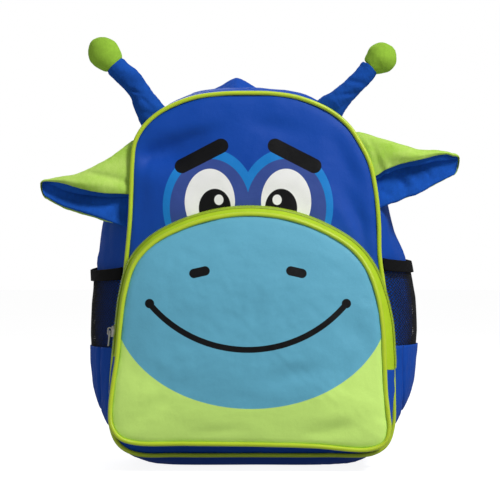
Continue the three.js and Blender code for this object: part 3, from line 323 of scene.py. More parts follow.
# Horns, from inside the seam to the joint with the ball, and from there to the ball's end. across and rise
# are shares of each one's reach and climb, and girth is a share of HORN_BALL. From front to back a stalk is
# at most HORN_ROOT_DEPTH from its middle at the root, and deeper by HORN_SPREAD_DEPTH for each climb above.
HORN_BALL = 15.8
HORN_SET = 10
HORN_ROOT_DEPTH = 7.4
HORN_SPREAD_DEPTH = 26
HORNS = {
    "left": {
        "side": -1, "root": 0.64, "root_rise": 0.91, "reach": 45, "climb": 62,
        "stalk": [(-0.15, -0.2, 1.0), (0.12, 0.145, 0.95), (0.32, 0.39, 0.8), (0.43, 0.55, 0.68),
                  (0.63, 0.74, 0.72), (0.855, 0.89, 0.69), (0.993, 0.994, 0.665)],
        "ball": [(0.993, 0.994, 0.665), (1.069, 1.053, 0.84), (1.176, 1.135, 0.985), (1.283, 1.217, 1.0),
                 (1.389, 1.299, 0.8), (1.458, 1.352, 0.5), (1.496, 1.381, 0.2)],
    },
    "right": {
        "side": 1, "root": 0.49, "root_rise": 0.935, "reach": 52, "climb": 52,
        "stalk": [(-0.12, -0.2, 1.0), (0.187, 0.144, 0.937), (0.365, 0.317, 0.734), (0.554, 0.498, 0.627),
                  (0.86, 0.804, 0.6), (0.983, 0.973, 0.617)],
        "ball": [(0.983, 0.973, 0.617), (1.058, 1.033, 0.785), (1.148, 1.104, 0.96), (1.238, 1.175, 0.975),
                 (1.335, 1.253, 0.8), (1.395, 1.3, 0.5), (1.433, 1.33, 0.2)],
    },
}
HORN_FOLDS = {
    "left": table(
        "x z along across turn depth",
        (-116, 377, 10, 1.9, -18, 2.0),
        (-110, 374, 7, 3.4, -14, -1.4),
        (-104, 366, 12, 2.0, -44, 1.3),
        (-130, 393, 9, 1.8, 38, 0.9),
        (-98, 354, 12, 3.0, -20, 1.2),
    ),
    "right": table(
        "x z along across turn depth",
        (105, 387, 10, 2.0, -14, 2.2),
        (107, 381, 9, 3.0, -10, -1.3),
        (97, 374, 11, 1.9, 8, 1.9),
        (93, 369, 9, 2.6, 16, -1.2),
        (90, 360, 11, 2.0, 34, 1.6),
        (82, 360, 9, 2.0, 60, 1.0),
    ),
}

# Side pockets: how far they stand off the body, as shares of each one's bulge, by share of their height.
# SIDE_SEAMS are shares of the body's depth, and SIDE_CLOTH_WIDTH is in metres.
SIDE_SWELL = table(
    "rise out",
    (0.0, 0.02),
    (0.04, 0.12),
    (0.11, 0.36),
    (0.26, 0.73),
    (0.4, 0.87),
    (0.56, 1.0),
    (0.77, 0.92),
    (0.91, 0.65),
    (1.0, 0.55),
    (1.16, 0.0),
)
SIDE_BOTTOM = 42
SIDE_STUFFING = 0.72
SIDE_SAG = 3.5
SIDE_BAND = 12.5
SIDE_SEAMS = (0.05, 0.955)
SIDE_EDGE_SET = 1.5
SIDE_EDGE_ROUND = 3.4
SIDE_WALL_START = 80
CREASE_HALF_WIDTH = 0.9
CREASE_DEPTH = 5.0
CREASE_SHIFT = 2.0
SIDE_CLOTH_WIDTH = 0.1
SIDE_NET_WIDTH = 96
SIDE_CLOTH_EASE = 1.1
# Each pocket: how high its net's lower edge and its mouth are, how far it stands off, and where the cloth
# is creased, from the bag's middle
SIDES = {
    "left": {"side": -1, "net": 120, "top": 201, "bulge": 8, "crease": 151},
    "right": {"side": 1, "net": 122, "top": 210, "bulge": 11, "crease": 154},
}

# Shoulder straps, from the top seam to the adjuster. across and rise are shares of the body's half width and
# height, and out, width and pad are shares of STRAP_REACH, STRAP_WIDTH and STRAP_PAD.
STRAP = table(
    "across rise out width pad",
    (0.195, 0.86, -0.1, 0.86, 0.5),
    (0.21, 0.91, 0.06, 0.88, 0.6),
    (0.235, 0.94, 0.3, 0.92, 0.9),
    (0.28, 0.92, 0.62, 0.98, 1.0),
    (0.34, 0.84, 0.88, 1.0, 1.0),
    (0.41, 0.73, 1.0, 1.0, 1.0),
    (0.47, 0.61, 0.97, 0.96, 1.0),
    (0.52, 0.5, 0.85, 0.86, 1.0),
    (0.555, 0.42, 0.72, 0.72, 0.85),
    (0.575, 0.375, 0.63, 0.6, 0.5),
)
STRAP_WIDTH = 50
STRAP_PAD = 9
STRAP_REACH = 56
STRAP_SIDES = 40
BACK_PAD = 8
WEBBING_WIDTH = 25
WEBBING_WALL = 1.8
BUCKLE_DROP = 22
BUCKLE_PLATE = 4
BUCKLE_BAR = 4
BUCKLE_WINDOW = 6.5
ANCHOR = {"across": 0.72, "rise": 0.05, "side": 44}

# Grab handle, from one sewn end over its peak to the other. Places are shares of BODY_HALF_WIDTH and
# HANDLE_RISE, and tilt is how far its lower edge leans out to the front, in degrees from flat.
HANDLE_WIDTH = 22
HANDLE_WALL = 3.4
HANDLE_RISE = 22
HANDLE_SET = 2.0
HANDLE_POINTS = 96
HANDLE = table(
    "across rise tilt",
    (-0.47, -0.45, 45),
    (-0.43, -0.04, 42),
    (-0.34, 0.2, 38),
    (-0.22, 0.52, 38),
    (-0.13, 0.86, 38),
    (-0.08, 0.9, 38),
    (-0.01, 0.66, 38),
    (0.08, 0.3, 38),
    (0.13, -0.05, 42),
    (0.17, -0.6, 45),
)


def mix(a, b, share):
    return a + (b - a) * share


def smooth_loop(stations, count):
    """Points along a smooth closed curve through stations, evenly from station to station."""
    stations = np.asarray(stations, float)
    size = len(stations)
    place = np.arange(count) * size / count
    at = place.astype(int)
    w = (place - at)[:, None]
    p = [stations[(at + k) % size] for k in (-1, 0, 1, 2)]
    t = [np.linalg.norm(b - a, axis=1)[:, None] ** 0.5 for a, b in zip(p, p[1:])]
    leave = ((p[1] - p[0]) / t[0] - (p[2] - p[0]) / (t[0] + t[1]) + (p[2] - p[1]) / t[1]) * t[1]
    arrive = ((p[2] - p[1]) / t[1] - (p[3] - p[1]) / (t[1] + t[2]) + (p[3] - p[2]) / t[2]) * t[1]
    step = p[2] - p[1]
    return p[1] + leave * w + (3 * step - 2 * leave - arrive) * w**2 + (leave + arrive - 2 * step) * w**3


def smooth_line(points, count):
    """Points along a smooth open curve through points, evenly from one to the next."""
    points = np.asarray(points, float)
    place = np.linspace(0, len(points) - 1, count)
    at = np.minimum(place.astype(int), len(points) - 2)
    w = (place - at).reshape((-1,) + (1,) * (points.ndim - 1))
    slope = np.gradient(points, axis=0)
    a, b = points[at], points[at + 1]
    leave, arrive = slope[at], slope[at + 1]
    return a + leave * w + (3 * (b - a) - 2 * leave - arrive) * w**2 + (leave + arrive - 2 * (b - a)) * w**3


def round_both(right, left, count):
    """A quantity of an outline's right half and left half, carried round the whole outline."""
    whole = np.concatenate([right, left[-2:0:-1]])
    places = np.arange(count) * len(whole) / count
    return np.interp(places, np.arange(len(whole) + 1), np.append(whole, whole[0]))


def both_sides(right, right_rise, left, left_rise):
    """A closed outline's stations in X and Z from those of its two sides."""
    x = np.concatenate([right, -left[-2:0:-1]])
    z = np.concatenate([right_rise, left_rise[-2:0:-1]])
    return np.stack([x, z], axis=1)


def grow(loop, distance):
    """An outline with each point moved outwards, in the XZ plane."""
    along = np.roll(loop, -1, axis=0)[:, [0, -1]] - np.roll(loop, 1, axis=0)[:, [0, -1]]
    along /= np.linalg.norm(along, axis=1)[:, None]
    grown = loop.copy()
    grown[:, 0] += along[:, 1] * distance
    grown[:, -1] -= along[:, 0] * distance
    return grown


def front_seam_y(z):
    return -BODY_DEPTH + FRONT_LEAN * (z - SEAM_LIFT) / BODY_HEIGHT


def pocket_seam_y(z):
    rise = (z - POCKET_LIFT) / POCKET_HEIGHT
    return front_seam_y(z) - mix(POCKET_DEPTH_BOTTOM, POCKET_DEPTH_TOP, rise)


def body_loop(share, offset=0.0, count=BODY_POINTS):
    """The body's outline at a share of its depth, from the front seam, 0, to the back seam, 1."""
    spread = 1 - (1 - share) ** 2
    rise = SEAM_LIFT + BODY_HEIGHT * mix(BODY["rise"], BODY["back_rise"], share)
    right = BODY_HALF_WIDTH * mix(BODY["right"], BODY["back_right"], spread)
    left = BODY_HALF_WIDTH * mix(BODY["left"], BODY["back_left"], spread)
    outline = smooth_loop(both_sides(right, rise, left, rise), count)
    swell = GUSSET_BULGE * 4 * share * (1 - share)
    bulged = grow(outline, round_both(BODY["bulge"], BODY["bulge"], count) * swell)
    bulged[:, 1] = np.maximum(bulged[:, 1], 0)
    x, z = grow(bulged, offset).T
    y = mix(front_seam_y(z) + PIPING_RADIUS + SEAM_GAP, -SEAM_GAP, share)
    return np.stack([x, y, z], axis=1)


def front_seam(count=BODY_POINTS):
    x, _, z = body_loop(0, count=count).T
    return np.stack([x, front_seam_y(z), z], axis=1)


def sunk(dents, x, z):
    """How far the dents of a front sink at a place."""
    depth = np.zeros_like(x)
    for cx, cz, along, across, turn, deep in zip(*dents.values()):
        c, s = math.cos(math.radians(turn)), math.sin(math.radians(turn))
        u = ((x - cx) * c + (z - cz) * s) / along
        v = ((z - cz) * c - (x - cx) * s) / across
        depth += deep * np.exp(-(u**2) - v**2)
    return depth


def share_of(rim, centre, x, z):
    """How far out a place lies, from an outline's centre, 0, to the outline, 1."""
    turn = np.arctan2(rim[:, 2] - centre[1], rim[:, 0] - centre[0])
    reach = np.hypot(rim[:, 2] - centre[1], rim[:, 0] - centre[0])
    order = np.argsort(turn)
    edge = np.interp(np.arctan2(z - centre[1], x - centre[0]), turn[order], reach[order], period=2 * math.pi)
    return np.hypot(z - centre[1], x - centre[0]) / edge


def crown(share, height):
    return height * (1 - np.minimum(share, 1) ** 2.6)


def front_y(x, z):
    """The body's front at a place, with its dents."""
    share = share_of(grow(front_seam(), -2.5), FRONT_CENTRE, x, z)
    held = np.clip((1 - share) * 9, 0, 1)
    return front_seam_y(z) - 1 - crown(share, FRONT_CROWN) + sunk(FRONT_DENTS, x, z) * held


def pocket_outline(count=POCKET_POINTS):
    right = POCKET_HALF_WIDTH * POCKET["right"]
    left = POCKET_HALF_WIDTH * POCKET["left"]
    right_rise = POCKET_LIFT + POCKET_HEIGHT * POCKET["right_rise"]
    left_rise = POCKET_LIFT + POCKET_HEIGHT * POCKET["left_rise"]
    return smooth_loop(both_sides(right, right_rise, left, left_rise), count)


def pocket_seam(count=POCKET_POINTS):
    x, z = pocket_outline(count).T
    return np.stack([x, pocket_seam_y(z), z], axis=1)


def pocket_loop(share, offset=0.0, count=POCKET_POINTS):
    """The pocket's side at a share of its depth, from its front seam, 0, to the body's front, 1."""
    puff = POCKET_BULGE + round_both(POCKET["puff"], POCKET["puff"] * 0, count)
    flare = POCKET_FLARE * round_both(POCKET["flare"], POCKET["flare"], count)
    x, z = grow(pocket_outline(count), flare * share + puff * 4 * share * (1 - share) + offset).T
    front = pocket_seam_y(z) + PIPING_RADIUS + SEAM_GAP
    back = np.minimum(front_y(x, z), front_seam_y(z) - PIPING_RADIUS) + 1
    return np.stack([x, mix(front, back, share), z], axis=1)


# Materials


# The materials made so far, by their names
LOOKS = {}


class Wire:
    """A shader socket that can be reckoned with as a number."""

    def __init__(self, look, socket):
        self.look = look
        self.socket = socket

    def reckon(self, operation, *others):
        return self.look.node("ShaderNodeMath", {"operation": operation}, dict(enumerate((self, *others))))

    def __add__(self, other):
        return self.reckon("ADD", other)

    def __sub__(self, other):
        return self.reckon("SUBTRACT", other)

    def __rsub__(self, other):
        return self.look.node("ShaderNodeMath", {"operation": "SUBTRACT"}, {0: other, 1: self})

    def __mul__(self, other):
        return self.reckon("MULTIPLY", other)

    def __truediv__(self, other):
        return self.reckon("DIVIDE", other)

    def __pow__(self, other):
        return self.reckon("POWER", other)

    def sine(self):
        return self.reckon("SINE")

    def absolute(self):
        return self.reckon("ABSOLUTE")

    def root(self):
        return self.reckon("SQRT")

    def clamped(self):
        return self.look.node("ShaderNodeMath", {"operation": "ADD", "use_clamp": True}, {0: self, 1: 0.0})


class Look:
    """A procedural material in the making."""

    def __init__(self, name, **finish):
        self.material = bpy.data.materials.new(name)
        self.material.use_nodes = True
        self.tree = self.material.node_tree
        self.shader = self.tree.nodes["Principled BSDF"]
        for socket, value in finish.items():
            self.shader.inputs[socket.replace("_", " ").title().replace("Ior", "IOR")].default_value = value

    def node(self, kind, settings=None, inputs=None, output=0):
        """Adds a node with its settings first and then its inputs' values or links."""
        made = self.tree.nodes.new(kind)
        for name, value in (settings or {}).items():
            setattr(made, name, value)
        for name, value in (inputs or {}).items():
            if isinstance(value, Wire):
                self.tree.links.new(value.socket, made.inputs[name])
            else:
                made.inputs[name].default_value = value
        return Wire(self, made.outputs[output])

    def place(self):
        """The place on the object, in metres, as X, Y and Z."""
        where = self.node("ShaderNodeTexCoord", output="Object")
        return [self.node("ShaderNodeSeparateXYZ", inputs={0: where}, output=k) for k in range(3)]

    def across_and_along(self):
        """The piece's own map: from 0 to 1 along its columns and along its rows."""
        where = self.node("ShaderNodeUVMap", {"uv_map": "UVMap"})
        return [self.node("ShaderNodeSeparateXYZ", inputs={0: where}, output=k) for k in range(2)]

    def noise(self, scale, detail=2.0, roughness=0.5, stretch=None):
        """Smooth noise about 0.5, with its grain in cells for each metre."""
        where = self.node("ShaderNodeTexCoord", output="Object")
        if stretch:
            where = self.node("ShaderNodeMapping", inputs={"Vector": where, "Scale": stretch})
        inputs = {"Vector": where, "Scale": scale, "Detail": detail, "Roughness": roughness}
        return self.node("ShaderNodeTexNoise", inputs=inputs)

    def blended(self, factor, low, high):
        """A colour between two, each a colour or a link."""
        low, high = (c if isinstance(c, Wire) else (*c[:3], 1) for c in (low, high))
        return self.node("ShaderNodeMix", {"data_type": "RGBA"}, {0: factor, 6: low, 7: high}, output=2)

    def feed(self, socket, value):
        self.tree.links.new(value.socket, self.shader.inputs[socket])

    def tinted(self, tone, tint, low, high):
        """Feeds a colour to the surface, from one share of it at tone 0 to another at tone 1."""
        self.feed("Base Color", self.blended(tone, shade(tint, low), shade(tint, high)))

    def relief(self, height, depth, strength):
        """Feeds a height from 0 to 1 to the surface, as that depth in metres."""
        inputs = {"Height": height, "Distance": depth, "Strength": strength}
        self.feed("Normal", self.node("ShaderNodeBump", inputs=inputs))


def colour(code):
    """Linear colour of a hexadecimal display colour."""
    shares = [int(code[i : i + 2], 16) / 255 for i in (0, 2, 4)]
    return tuple(c / 12.92 if c <= 0.04045 else ((c + 0.055) / 1.055) ** 2.4 for c in shares)


def shade(tint, factor):
    return tuple(min(c * factor, 1.0) for c in tint[:3])


def oval(x, z, centre, reach):
    """1 inside an oval on the front and 0 outside, in millimetres."""
    u = (x - centre[0] * MM) / (reach[0] * MM)
    v = (z - centre[1] * MM) / (reach[1] * MM)
    away = (u * u + v * v).root()
    return ((1 - away) * (min(reach) / PRINT_EDGE) + 0.5).clamped()


def bar(x, z, start, end, half):
    """1 inside a bar with round ends from start to end, and 0 outside, in millimetres."""
    dx, dz = end[0] - start[0], end[1] - start[1]
    long = dx * dx + dz * dz
    u = x / MM - start[0]
    v = z / MM - start[1]
    share = ((u * dx + v * dz) / long).clamped()
    a = u - share * dx
    b = v - share * dz
    return ((half - (a * a + b * b).root()) / PRINT_EDGE + 0.5).clamped()


def weave(look):
    """Plain weave on any side of the bag, from 0 to 1."""
    x, y, z = look.place()
    turn = 2 * math.pi / (WEAVE_PITCH * MM)
    return ((x * turn).sine() * (z * turn).sine() + (y * turn).sine() * (z * turn).sine()) * 0.25 + 0.5


def clothed(look, tint, spread):
    """Cloth colour that varies softly, with a weave and fine creases in its relief."""
    slow = look.noise(9, 2)
    fine = look.noise(900, 2, 0.6)
    blotch = ((slow - 0.5) * 2 + (fine - 0.5) * 0.5) * spread + 1
    if isinstance(tint, Wire):
        body = look.node("ShaderNodeVectorMath", {"operation": "SCALE"}, {0: tint, "Scale": blotch})
    else:
        share = (blotch - 1 + spread) / (2 * spread)
        body = look.blended(share, shade(tint, 1 - spread), shade(tint, 1 + spread))
    look.feed("Base Color", body)
    look.feed("Roughness", (look.noise(60, 3) - 0.5) * 0.22 + look.shader.inputs["Roughness"].default_value)
    creases = look.noise(70, 4, 0.62)
    look.relief(weave(look) * 0.16 + creases * 0.84, 0.0011, 0.5)
    return look.material


def on_face(place, side):
    """A place on one side of the printed face, in X and Z."""
    return FACE_MIDDLE + place[0] * side, place[1]


def printed_front(settings):
    """Blue coated cloth with two round eyes on plain ovals and two straight brows printed on it."""
    look = Look("printed_cloth_blue", roughness=0.5, specular_ior_level=0.16)
    x, _, z = look.place()
    body = settings.blue_cloth
    for middle, reach, tint in EYE_OVALS:
        for side in (-1, 1):
            body = look.blended(oval(x, z, on_face(middle, side), reach), body, getattr(settings, tint))
    for side in (-1, 1):
        brow = bar(x, z, on_face(BROW[0], side), on_face(BROW[1], side), BROW_HALF_WIDTH)
        body = look.blended(brow, body, settings.black)
    return clothed(look, body, 0.1)


def printed_pocket(settings):
    """Lime coated cloth with a light blue muzzle, two nostrils and a smile printed on it."""
    look = Look("printed_cloth_lime", roughness=0.5, specular_ior_level=0.16)
    x, _, z = look.place()
    muzzle = oval(x, z, MUZZLE_MIDDLE, MUZZLE_REACH)
    body = look.blended(muzzle, settings.lime_cloth, settings.muzzle_blue)
    for side in (-1, 1):
        nostril = bar(x, z, on_face(NOSTRIL[0], side), on_face(NOSTRIL[1], side), NOSTRIL_HALF_WIDTH)
        body = look.blended(nostril, body, settings.black)
    u = x / MM - FACE_MIDDLE
    v = z / MM - SMILE_MIDDLE
    ring = (SMILE_HALF_WIDTH - ((u * u + v * v).root() - SMILE_RADIUS).absolute()) / PRINT_EDGE + 0.5
    low = (SMILE_TOP - z / MM) / 0.5
    smile = ring.clamped() * low.clamped()
    body = look.blended(smile, body, settings.black)
    for side in (-1, 1):
        end = oval(x, z, on_face(SMILE_END, side), SMILE_END_REACH)
        body = look.blended(end, body, settings.black)
    return clothed(look, body, 0.07)


def plain_cloth(settings):
    """Matt woven polyester of the sides and back."""
    look = Look("cloth_blue", roughness=0.62, specular_ior_level=0.14)
    return clothed(look, settings.blue_cloth, 0.14)


def satin_piping(settings):
    """Satin bias tape round a cord, with slanted threads."""
    look = Look("piping_lime", roughness=0.34, specular_ior_level=0.55, sheen_weight=0.1)
    along, across = look.across_and_along()
    threads = ((along * 5200 + across * 26).sine()) * 0.5 + 0.5
    look.tinted(look.noise(40, 3) * 0.7 + threads * 0.3, settings.lime_piping, 0.82, 1.12)
    look.relief(threads * 0.5 + look.noise(320, 2) * 0.5, 0.0003, 0.4)
    return look.material


def zip_tape(settings):
    """Woven zip tape with fine ribs across it, and painted shade darkening its middle beside and under the
    coil.
    """
    look = Look("zip_tape_lime", roughness=0.6, specular_ior_level=0.35)
    along, across = look.across_and_along()
    ribs = (along * 4200).sine() * 0.5 + 0.5
    # near is 0 along the tape's middle, where the coil sits, and 1 away from it: the middle is darkened there
    # as painted shade of the coil.
    near = ((across - 0.5).absolute() * 9).clamped() ** 2
    tint = look.blended(look.noise(60, 3), shade(settings.lime_zip, 0.86), shade(settings.lime_zip, 1.1))
    look.feed("Base Color", look.blended(near, shade(settings.lime_zip, 0.35), tint))
    look.relief(ribs, 0.0002, 0.5)
    return look.material


def zip_coil(settings):
    """Moulded nylon coil."""
    look = Look("zip_coil_lime", roughness=0.42, specular_ior_level=0.5)
    look.tinted(look.noise(500, 2), shade(settings.lime_zip, 0.8), 0.7, 1.1)
    return look.material


def plush(name, tint, pale, sheen=0.5):
    """Short pile that shows paler where it is brushed or turned up."""
    look = Look(name, roughness=0.92, specular_ior_level=0.1, sheen_weight=sheen, sheen_roughness=0.45)
    look.shader.inputs["Sheen Tint"].default_value = (*pale, 1)
    brushed = look.noise(26, 3, 0.55, (1, 1, 1.8))
    pile = look.noise(1400, 2, 0.7)
    streaks = look.noise(300, 3, 0.65, (1, 1, 0.4))
    tone = (brushed - 0.5) * 1.1 + (pile - 0.5) * 0.6 + (streaks - 0.5) * 0.5 + 0.35
    look.feed("Base Color", look.blended(tone.clamped(), shade(tint, 0.8), pale))
    look.relief(pile * 0.45 + streaks * 0.55, 0.001, 0.5)
    return look.material


def ribbed(name, tint, pitch):
    """Woven webbing or elastic, ribbed across its length by its own map."""
    look = Look(name, roughness=0.75, specular_ior_level=0.16)
    along, across = look.across_and_along()
    ribs = (along * (2 * math.pi * pitch)).sine() * 0.5 + 0.5
    rows = (across * 120).sine() * 0.5 + 0.5
    tone = ribs * 0.4 + rows * 0.2 + look.noise(300, 2) * 0.4
    look.tinted(tone, tint, 0.65, 1.25)
    look.relief(ribs * 0.6 + rows * 0.4, 0.0005, 0.6)
    return look.material


def black_net():
    """Knitted polyester yarn."""
    look = Look("net_black", roughness=0.6, specular_ior_level=0.4)
    look.feed("Base Color", look.blended(look.noise(900, 2), colour("07080A"), colour("17191E")))
    return look.material


def air_mesh(settings):
    """Knitted spacer mesh of the padded back, with its small round holes sunk in its relief and painted shade
    darkening them.
    """
    look = Look("back_mesh", roughness=0.8, specular_ior_level=0.3, sheen_weight=0.1)
    x, _, z = look.place()
    turn = 2 * math.pi / 0.0042
    # The round holes of the mesh: the colour is darkened to 0.3 in them as painted shade, and they sink in
    # the relief.
    shaded_holes = ((x * turn).sine() * (z * turn).sine() * 0.5 + 0.5) ** 2
    look.tinted(shaded_holes, settings.blue_cloth, 1.05, 0.3)
    look.relief(1 - shaded_holes, 0.0008, 0.7)
    return look.material


def moulded_plastic():
    """Satin moulded plastic with a fine grain."""
    look = Look("plastic_black", roughness=0.38, specular_ior_level=0.5)
    look.feed("Base Color", look.blended(look.noise(160, 3), colour("0B0B0D"), colour("1B1B1F")))
    look.feed("Roughness", look.noise(420, 3) * 0.22 + 0.28)
    look.relief(look.noise(1800, 2), 0.0001, 0.4)
    return look.material


def nickel():
    """Nickel plate with soft polishing marks."""
    look = Look("metal_silver", metallic=1.0, roughness=0.28)
    wear = look.noise(240, 4, 0.6)
    look.feed("Base Color", look.blended(wear, colour("A9A7A2"), colour("E2E0DC")))
    look.feed("Roughness", look.noise(700, 3, 0.6, (1, 1, 0.2)) * 0.25 + 0.16)
    look.relief(look.noise(900, 3), 0.00008, 0.4)
    return look.material


# Modelling


def only(piece):
    """Selects this object alone and makes it active."""
    bpy.ops.object.select_all(action="DESELECT")
    piece.select_set(True)
    bpy.context.view_layer.objects.active = piece


def in_edit_mode(piece, *steps):
    """Runs edit mode operators, each with its settings, on the whole of a piece."""
    only(piece)
    bpy.ops.object.mode_set(mode="EDIT")
    for operator, settings in steps:
        bpy.ops.mesh.select_all(action="SELECT")
        operator(**settings)
    bpy.ops.object.mode_set(mode="OBJECT")


def modified(piece, kind, **settings):
    """Adds a modifier and applies it."""
    only(piece)
    modifier = piece.modifiers.new(kind.title(), kind)
    for name, value in settings.items():
        setattr(modifier, name, value)
    bpy.ops.object.modifier_apply(modifier=modifier.name)
    return piece


def points_of(piece):
    co = np.empty(len(piece.data.vertices) * 3)
    piece.data.vertices.foreach_get("co", co)
    return co.reshape(-1, 3)


def move_points(piece, points):
    piece.data.vertices.foreach_set("co", np.ascontiguousarray(points, np.float64).ravel())
    piece.data.update()


def cloth_grid(name, rows):
    """A grid moved onto rows of points, in millimetres, and closed where its edges meet."""
    rows = np.asarray(rows, float)
    deep, wide = rows.shape[:2]
    bpy.ops.mesh.primitive_grid_add(x_subdivisions=wide - 1, y_subdivisions=deep - 1, size=1)
    piece = bpy.context.object
    piece.name = piece.data.name = name
    place = np.rint((points_of(piece)[:, :2] + 0.5) * (wide - 1, deep - 1)).astype(int)
    move_points(piece, (rows[place[:, 1], place[:, 0]] + SHIFT) * MM)
    in_edit_mode(piece, (bpy.ops.mesh.remove_doubles, {"threshold": 1e-6}))
    return piece


def closed(loops):
    """Loops with their first point again at their end."""
    loops = np.asarray(loops, float)
    return np.concatenate([loops, loops[:, :1]], axis=1)


def tube(name, line, radius, sides=12, ring=True, flat=1.0):
    """A tube along a line of points, closed on itself if it is a ring and rounded off at its ends if not."""
    line = np.asarray(line, float)
    if ring:
        along = np.roll(line, -1, axis=0) - np.roll(line, 1, axis=0)
    else:
        along = np.gradient(line, axis=0)
    along /= np.linalg.norm(along, axis=1)[:, None]
    out = np.cross([0.0, 1.0, 0.0], along)
    out /= np.linalg.norm(out, axis=1)[:, None]
    up = np.cross(along, out)
    radius, flat = (np.broadcast_to(value, len(line)) for value in (radius, flat))
    rows = []
    for t in -2 * math.pi * np.arange(sides + 1) / sides:
        across, high = radius * math.cos(t), radius * flat * math.sin(t)
        rows.append(line + out * across[:, None] + up * high[:, None])
    return cloth_grid(name, closed(rows) if ring else pinched(rows, line))


def pinched(rows, line):
    """Rows of points along a line, drawn together onto the line's two ends."""
    first, last = (np.tile(end, (len(rows), 1, 1)) for end in (line[:1], line[-1:]))
    return np.concatenate([first, np.stack(rows), last], axis=1)


def roughened(piece, depth, grain, seed, stretch=(1, 1, 1)):
    """Moves a piece's points along their normals by smooth noise of that depth and grain, in millimetres."""
    points = points_of(piece)
    normals = np.array([v.normal[:] for v in piece.data.vertices])
    scale = np.array(stretch) / (grain * MM)
    start = Vector((seed, seed * 2.7, -seed))
    heights = [noise.fractal(Vector(p * scale) + start, 0.6, 2.1, 3) for p in points]
    move_points(piece, points + normals * (np.array(heights)[:, None] * depth * MM))
    return piece


def eased_copy(node, name, width):
    """A copy of a hard CAD node with its edges eased."""
    piece = bpy.data.objects.new(name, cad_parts[node].data.copy())
    piece.data.name = name
    bpy.context.scene.collection.objects.link(piece)
    flat = {"angle_limit": math.radians(4)}
    merge = {"threshold": 1e-6}
    in_edit_mode(piece, (bpy.ops.mesh.remove_doubles, merge), (bpy.ops.mesh.dissolve_limited, flat))
    return modified(piece, "BEVEL", width=width * MM, segments=3, limit_method="ANGLE")


def eased_line(points, step=0.8, rounds=3):
    """A broken line's points at even steps, with its corners eased."""
    points = np.asarray(points, float)
    length = np.concatenate([[0], np.cumsum(np.linalg.norm(np.diff(points, axis=0), axis=1))])
    places = np.linspace(0, length[-1], int(length[-1] / step) + 2)
    line = np.stack([np.interp(places, length, points[:, k]) for k in range(3)], axis=1)
    for _ in range(rounds):
        line[1:-1] = line[:-2] / 4 + line[1:-1] / 2 + line[2:] / 4
    return line


def band(name, line, wide, width, wall, rows=7):
    """A flat band of webbing along a line, with softly rounded edges."""
    wide = np.broadcast_to(wide, line.shape)
    shares = np.linspace(-0.5, 0.5, rows)
    piece = cloth_grid(name, [line + wide * width * share for share in shares])
    modified(piece, "SOLIDIFY", thickness=wall * MM, offset=0)
    return modified(piece, "BEVEL", width=wall * 0.3 * MM, segments=2, limit_method="ANGLE")


def finish(piece, look, slot, *nodes, body="bag", crisp=False):
    """Smooth shading, a material, a body to ride on and the CAD nodes that a piece stands for."""
    only(piece)
    if crisp:
        bpy.ops.object.shade_smooth_by_angle(angle=math.radians(40))
    else:
        bpy.ops.object.shade_smooth()
    piece.data.materials.clear()
    piece.data.materials.append(look)
    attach(piece, body)
    if nodes:
        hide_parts(*nodes)
    return piece


def area_of(piece):
    """Area of a piece's faces, in square metres."""
    return sum(face.area for face in piece.data.polygons)


def sewn(piece, wall, look, slot, node, cut):
    area = area_of(piece)
    modified(piece, "SOLIDIFY", thickness=wall * MM, offset=-1)
    finish(piece, look, slot, node)
    whole = cut[0] * cut[1]
    min(max(area, LEAST_CUT * whole), whole)


def panel(name, seam, centre, seam_y, height, dents, reach):
    """A front panel inside a seam: crowned and dented, with its edge tucked in behind the piping."""
    rim = grow(seam, -PANEL_INSET)
    rows = []
    for share in PANEL_RINGS:
        x = mix(centre[0], rim[:, 0], share)
        z = mix(centre[1], rim[:, 2], share)
        held = np.clip((1 - share) * 9, 0, 1)
        tuck = PANEL_TUCK * math.exp(-(((1 - share) * reach / TUCK_REACH) ** 2))
        y = seam_y(z) - PANEL_PROUD - crown(share, height) + sunk(dents, x, z) * held + tuck
        rows.append(np.stack([x, y, z], axis=1))
    return cloth_grid(name, closed(rows))


def material(name, make, *arguments):
    """A material by its name, made the first time that it is asked for."""
    if name not in LOOKS:
        LOOKS[name] = make(*arguments)
    return LOOKS[name]


# Settings


def tint_setting(name, description, code):
    return FloatVectorProperty(
        name=name, description=description, subtype="COLOR", size=3, min=0, max=1, default=colour(code))


class BackpackColours(bpy.types.PropertyGroup):
    """Colours of the cloth, the plush, the trimmings and the print"""

    blue_cloth: tint_setting("Blue cloth", "Coated cloth of the body", "104AAE")
    bright_blue: tint_setting("Bright blue", "Printed rim round the eyes", "1C84D6")
    violet_blue: tint_setting("Violet blue", "Printed ovals behind the eyes", "3A519C")
    white: tint_setting("White", "Printed white", "FAFAF8")
    black: tint_setting("Black", "Printed black", "0E0E10")
    lime_cloth: tint_setting("Lime cloth", "Coated cloth of the pocket", "D2F880")
    muzzle_blue: tint_setting("Muzzle", "Printed light blue of the pocket", "66B2CE")
    lime_piping: tint_setting("Lime piping", "Satin piping along the seams", "C2DC24")
    lime_zip: tint_setting("Lime zip", "Tape and coil of the zips", "B4D61C")
    blue_plush: tint_setting("Blue plush", "Horns and the ears' lining", "1952B0")
    lime_plush: tint_setting("Lime plush", "Ears and the horns' ends", "B2E64C")


class BackpackSizes(bpy.types.PropertyGroup):
    """Sizes of the trimmings and of the cloth's wrinkles"""

    piping: FloatProperty(
        name="Piping", description="Diameter of the sewn piping", default=2 * PIPING_RADIUS * MM,
        min=0.002, max=0.008, unit="LENGTH")
    net_cell: FloatProperty(
        name="Net", description="Width of one opening of the side pockets' net", default=0.0036,
        min=0.002, max=0.01, unit="LENGTH")
    tooth_pitch: FloatProperty(
        name="Coil pitch", description="From one turn of the zips' coil to the next", default=0.0014,
        min=0.001, max=0.003, unit="LENGTH")
    wrinkle: FloatProperty(
        name="Wrinkles", description="Depth of the cloth's small uneven wrinkles", default=0.0008,
        min=0.0, max=0.004, unit="LENGTH")
    strap_rows: IntProperty(
        name="Strap rows", description="Rows of faces along a shoulder strap", default=64, min=16, max=200)


# Pieces


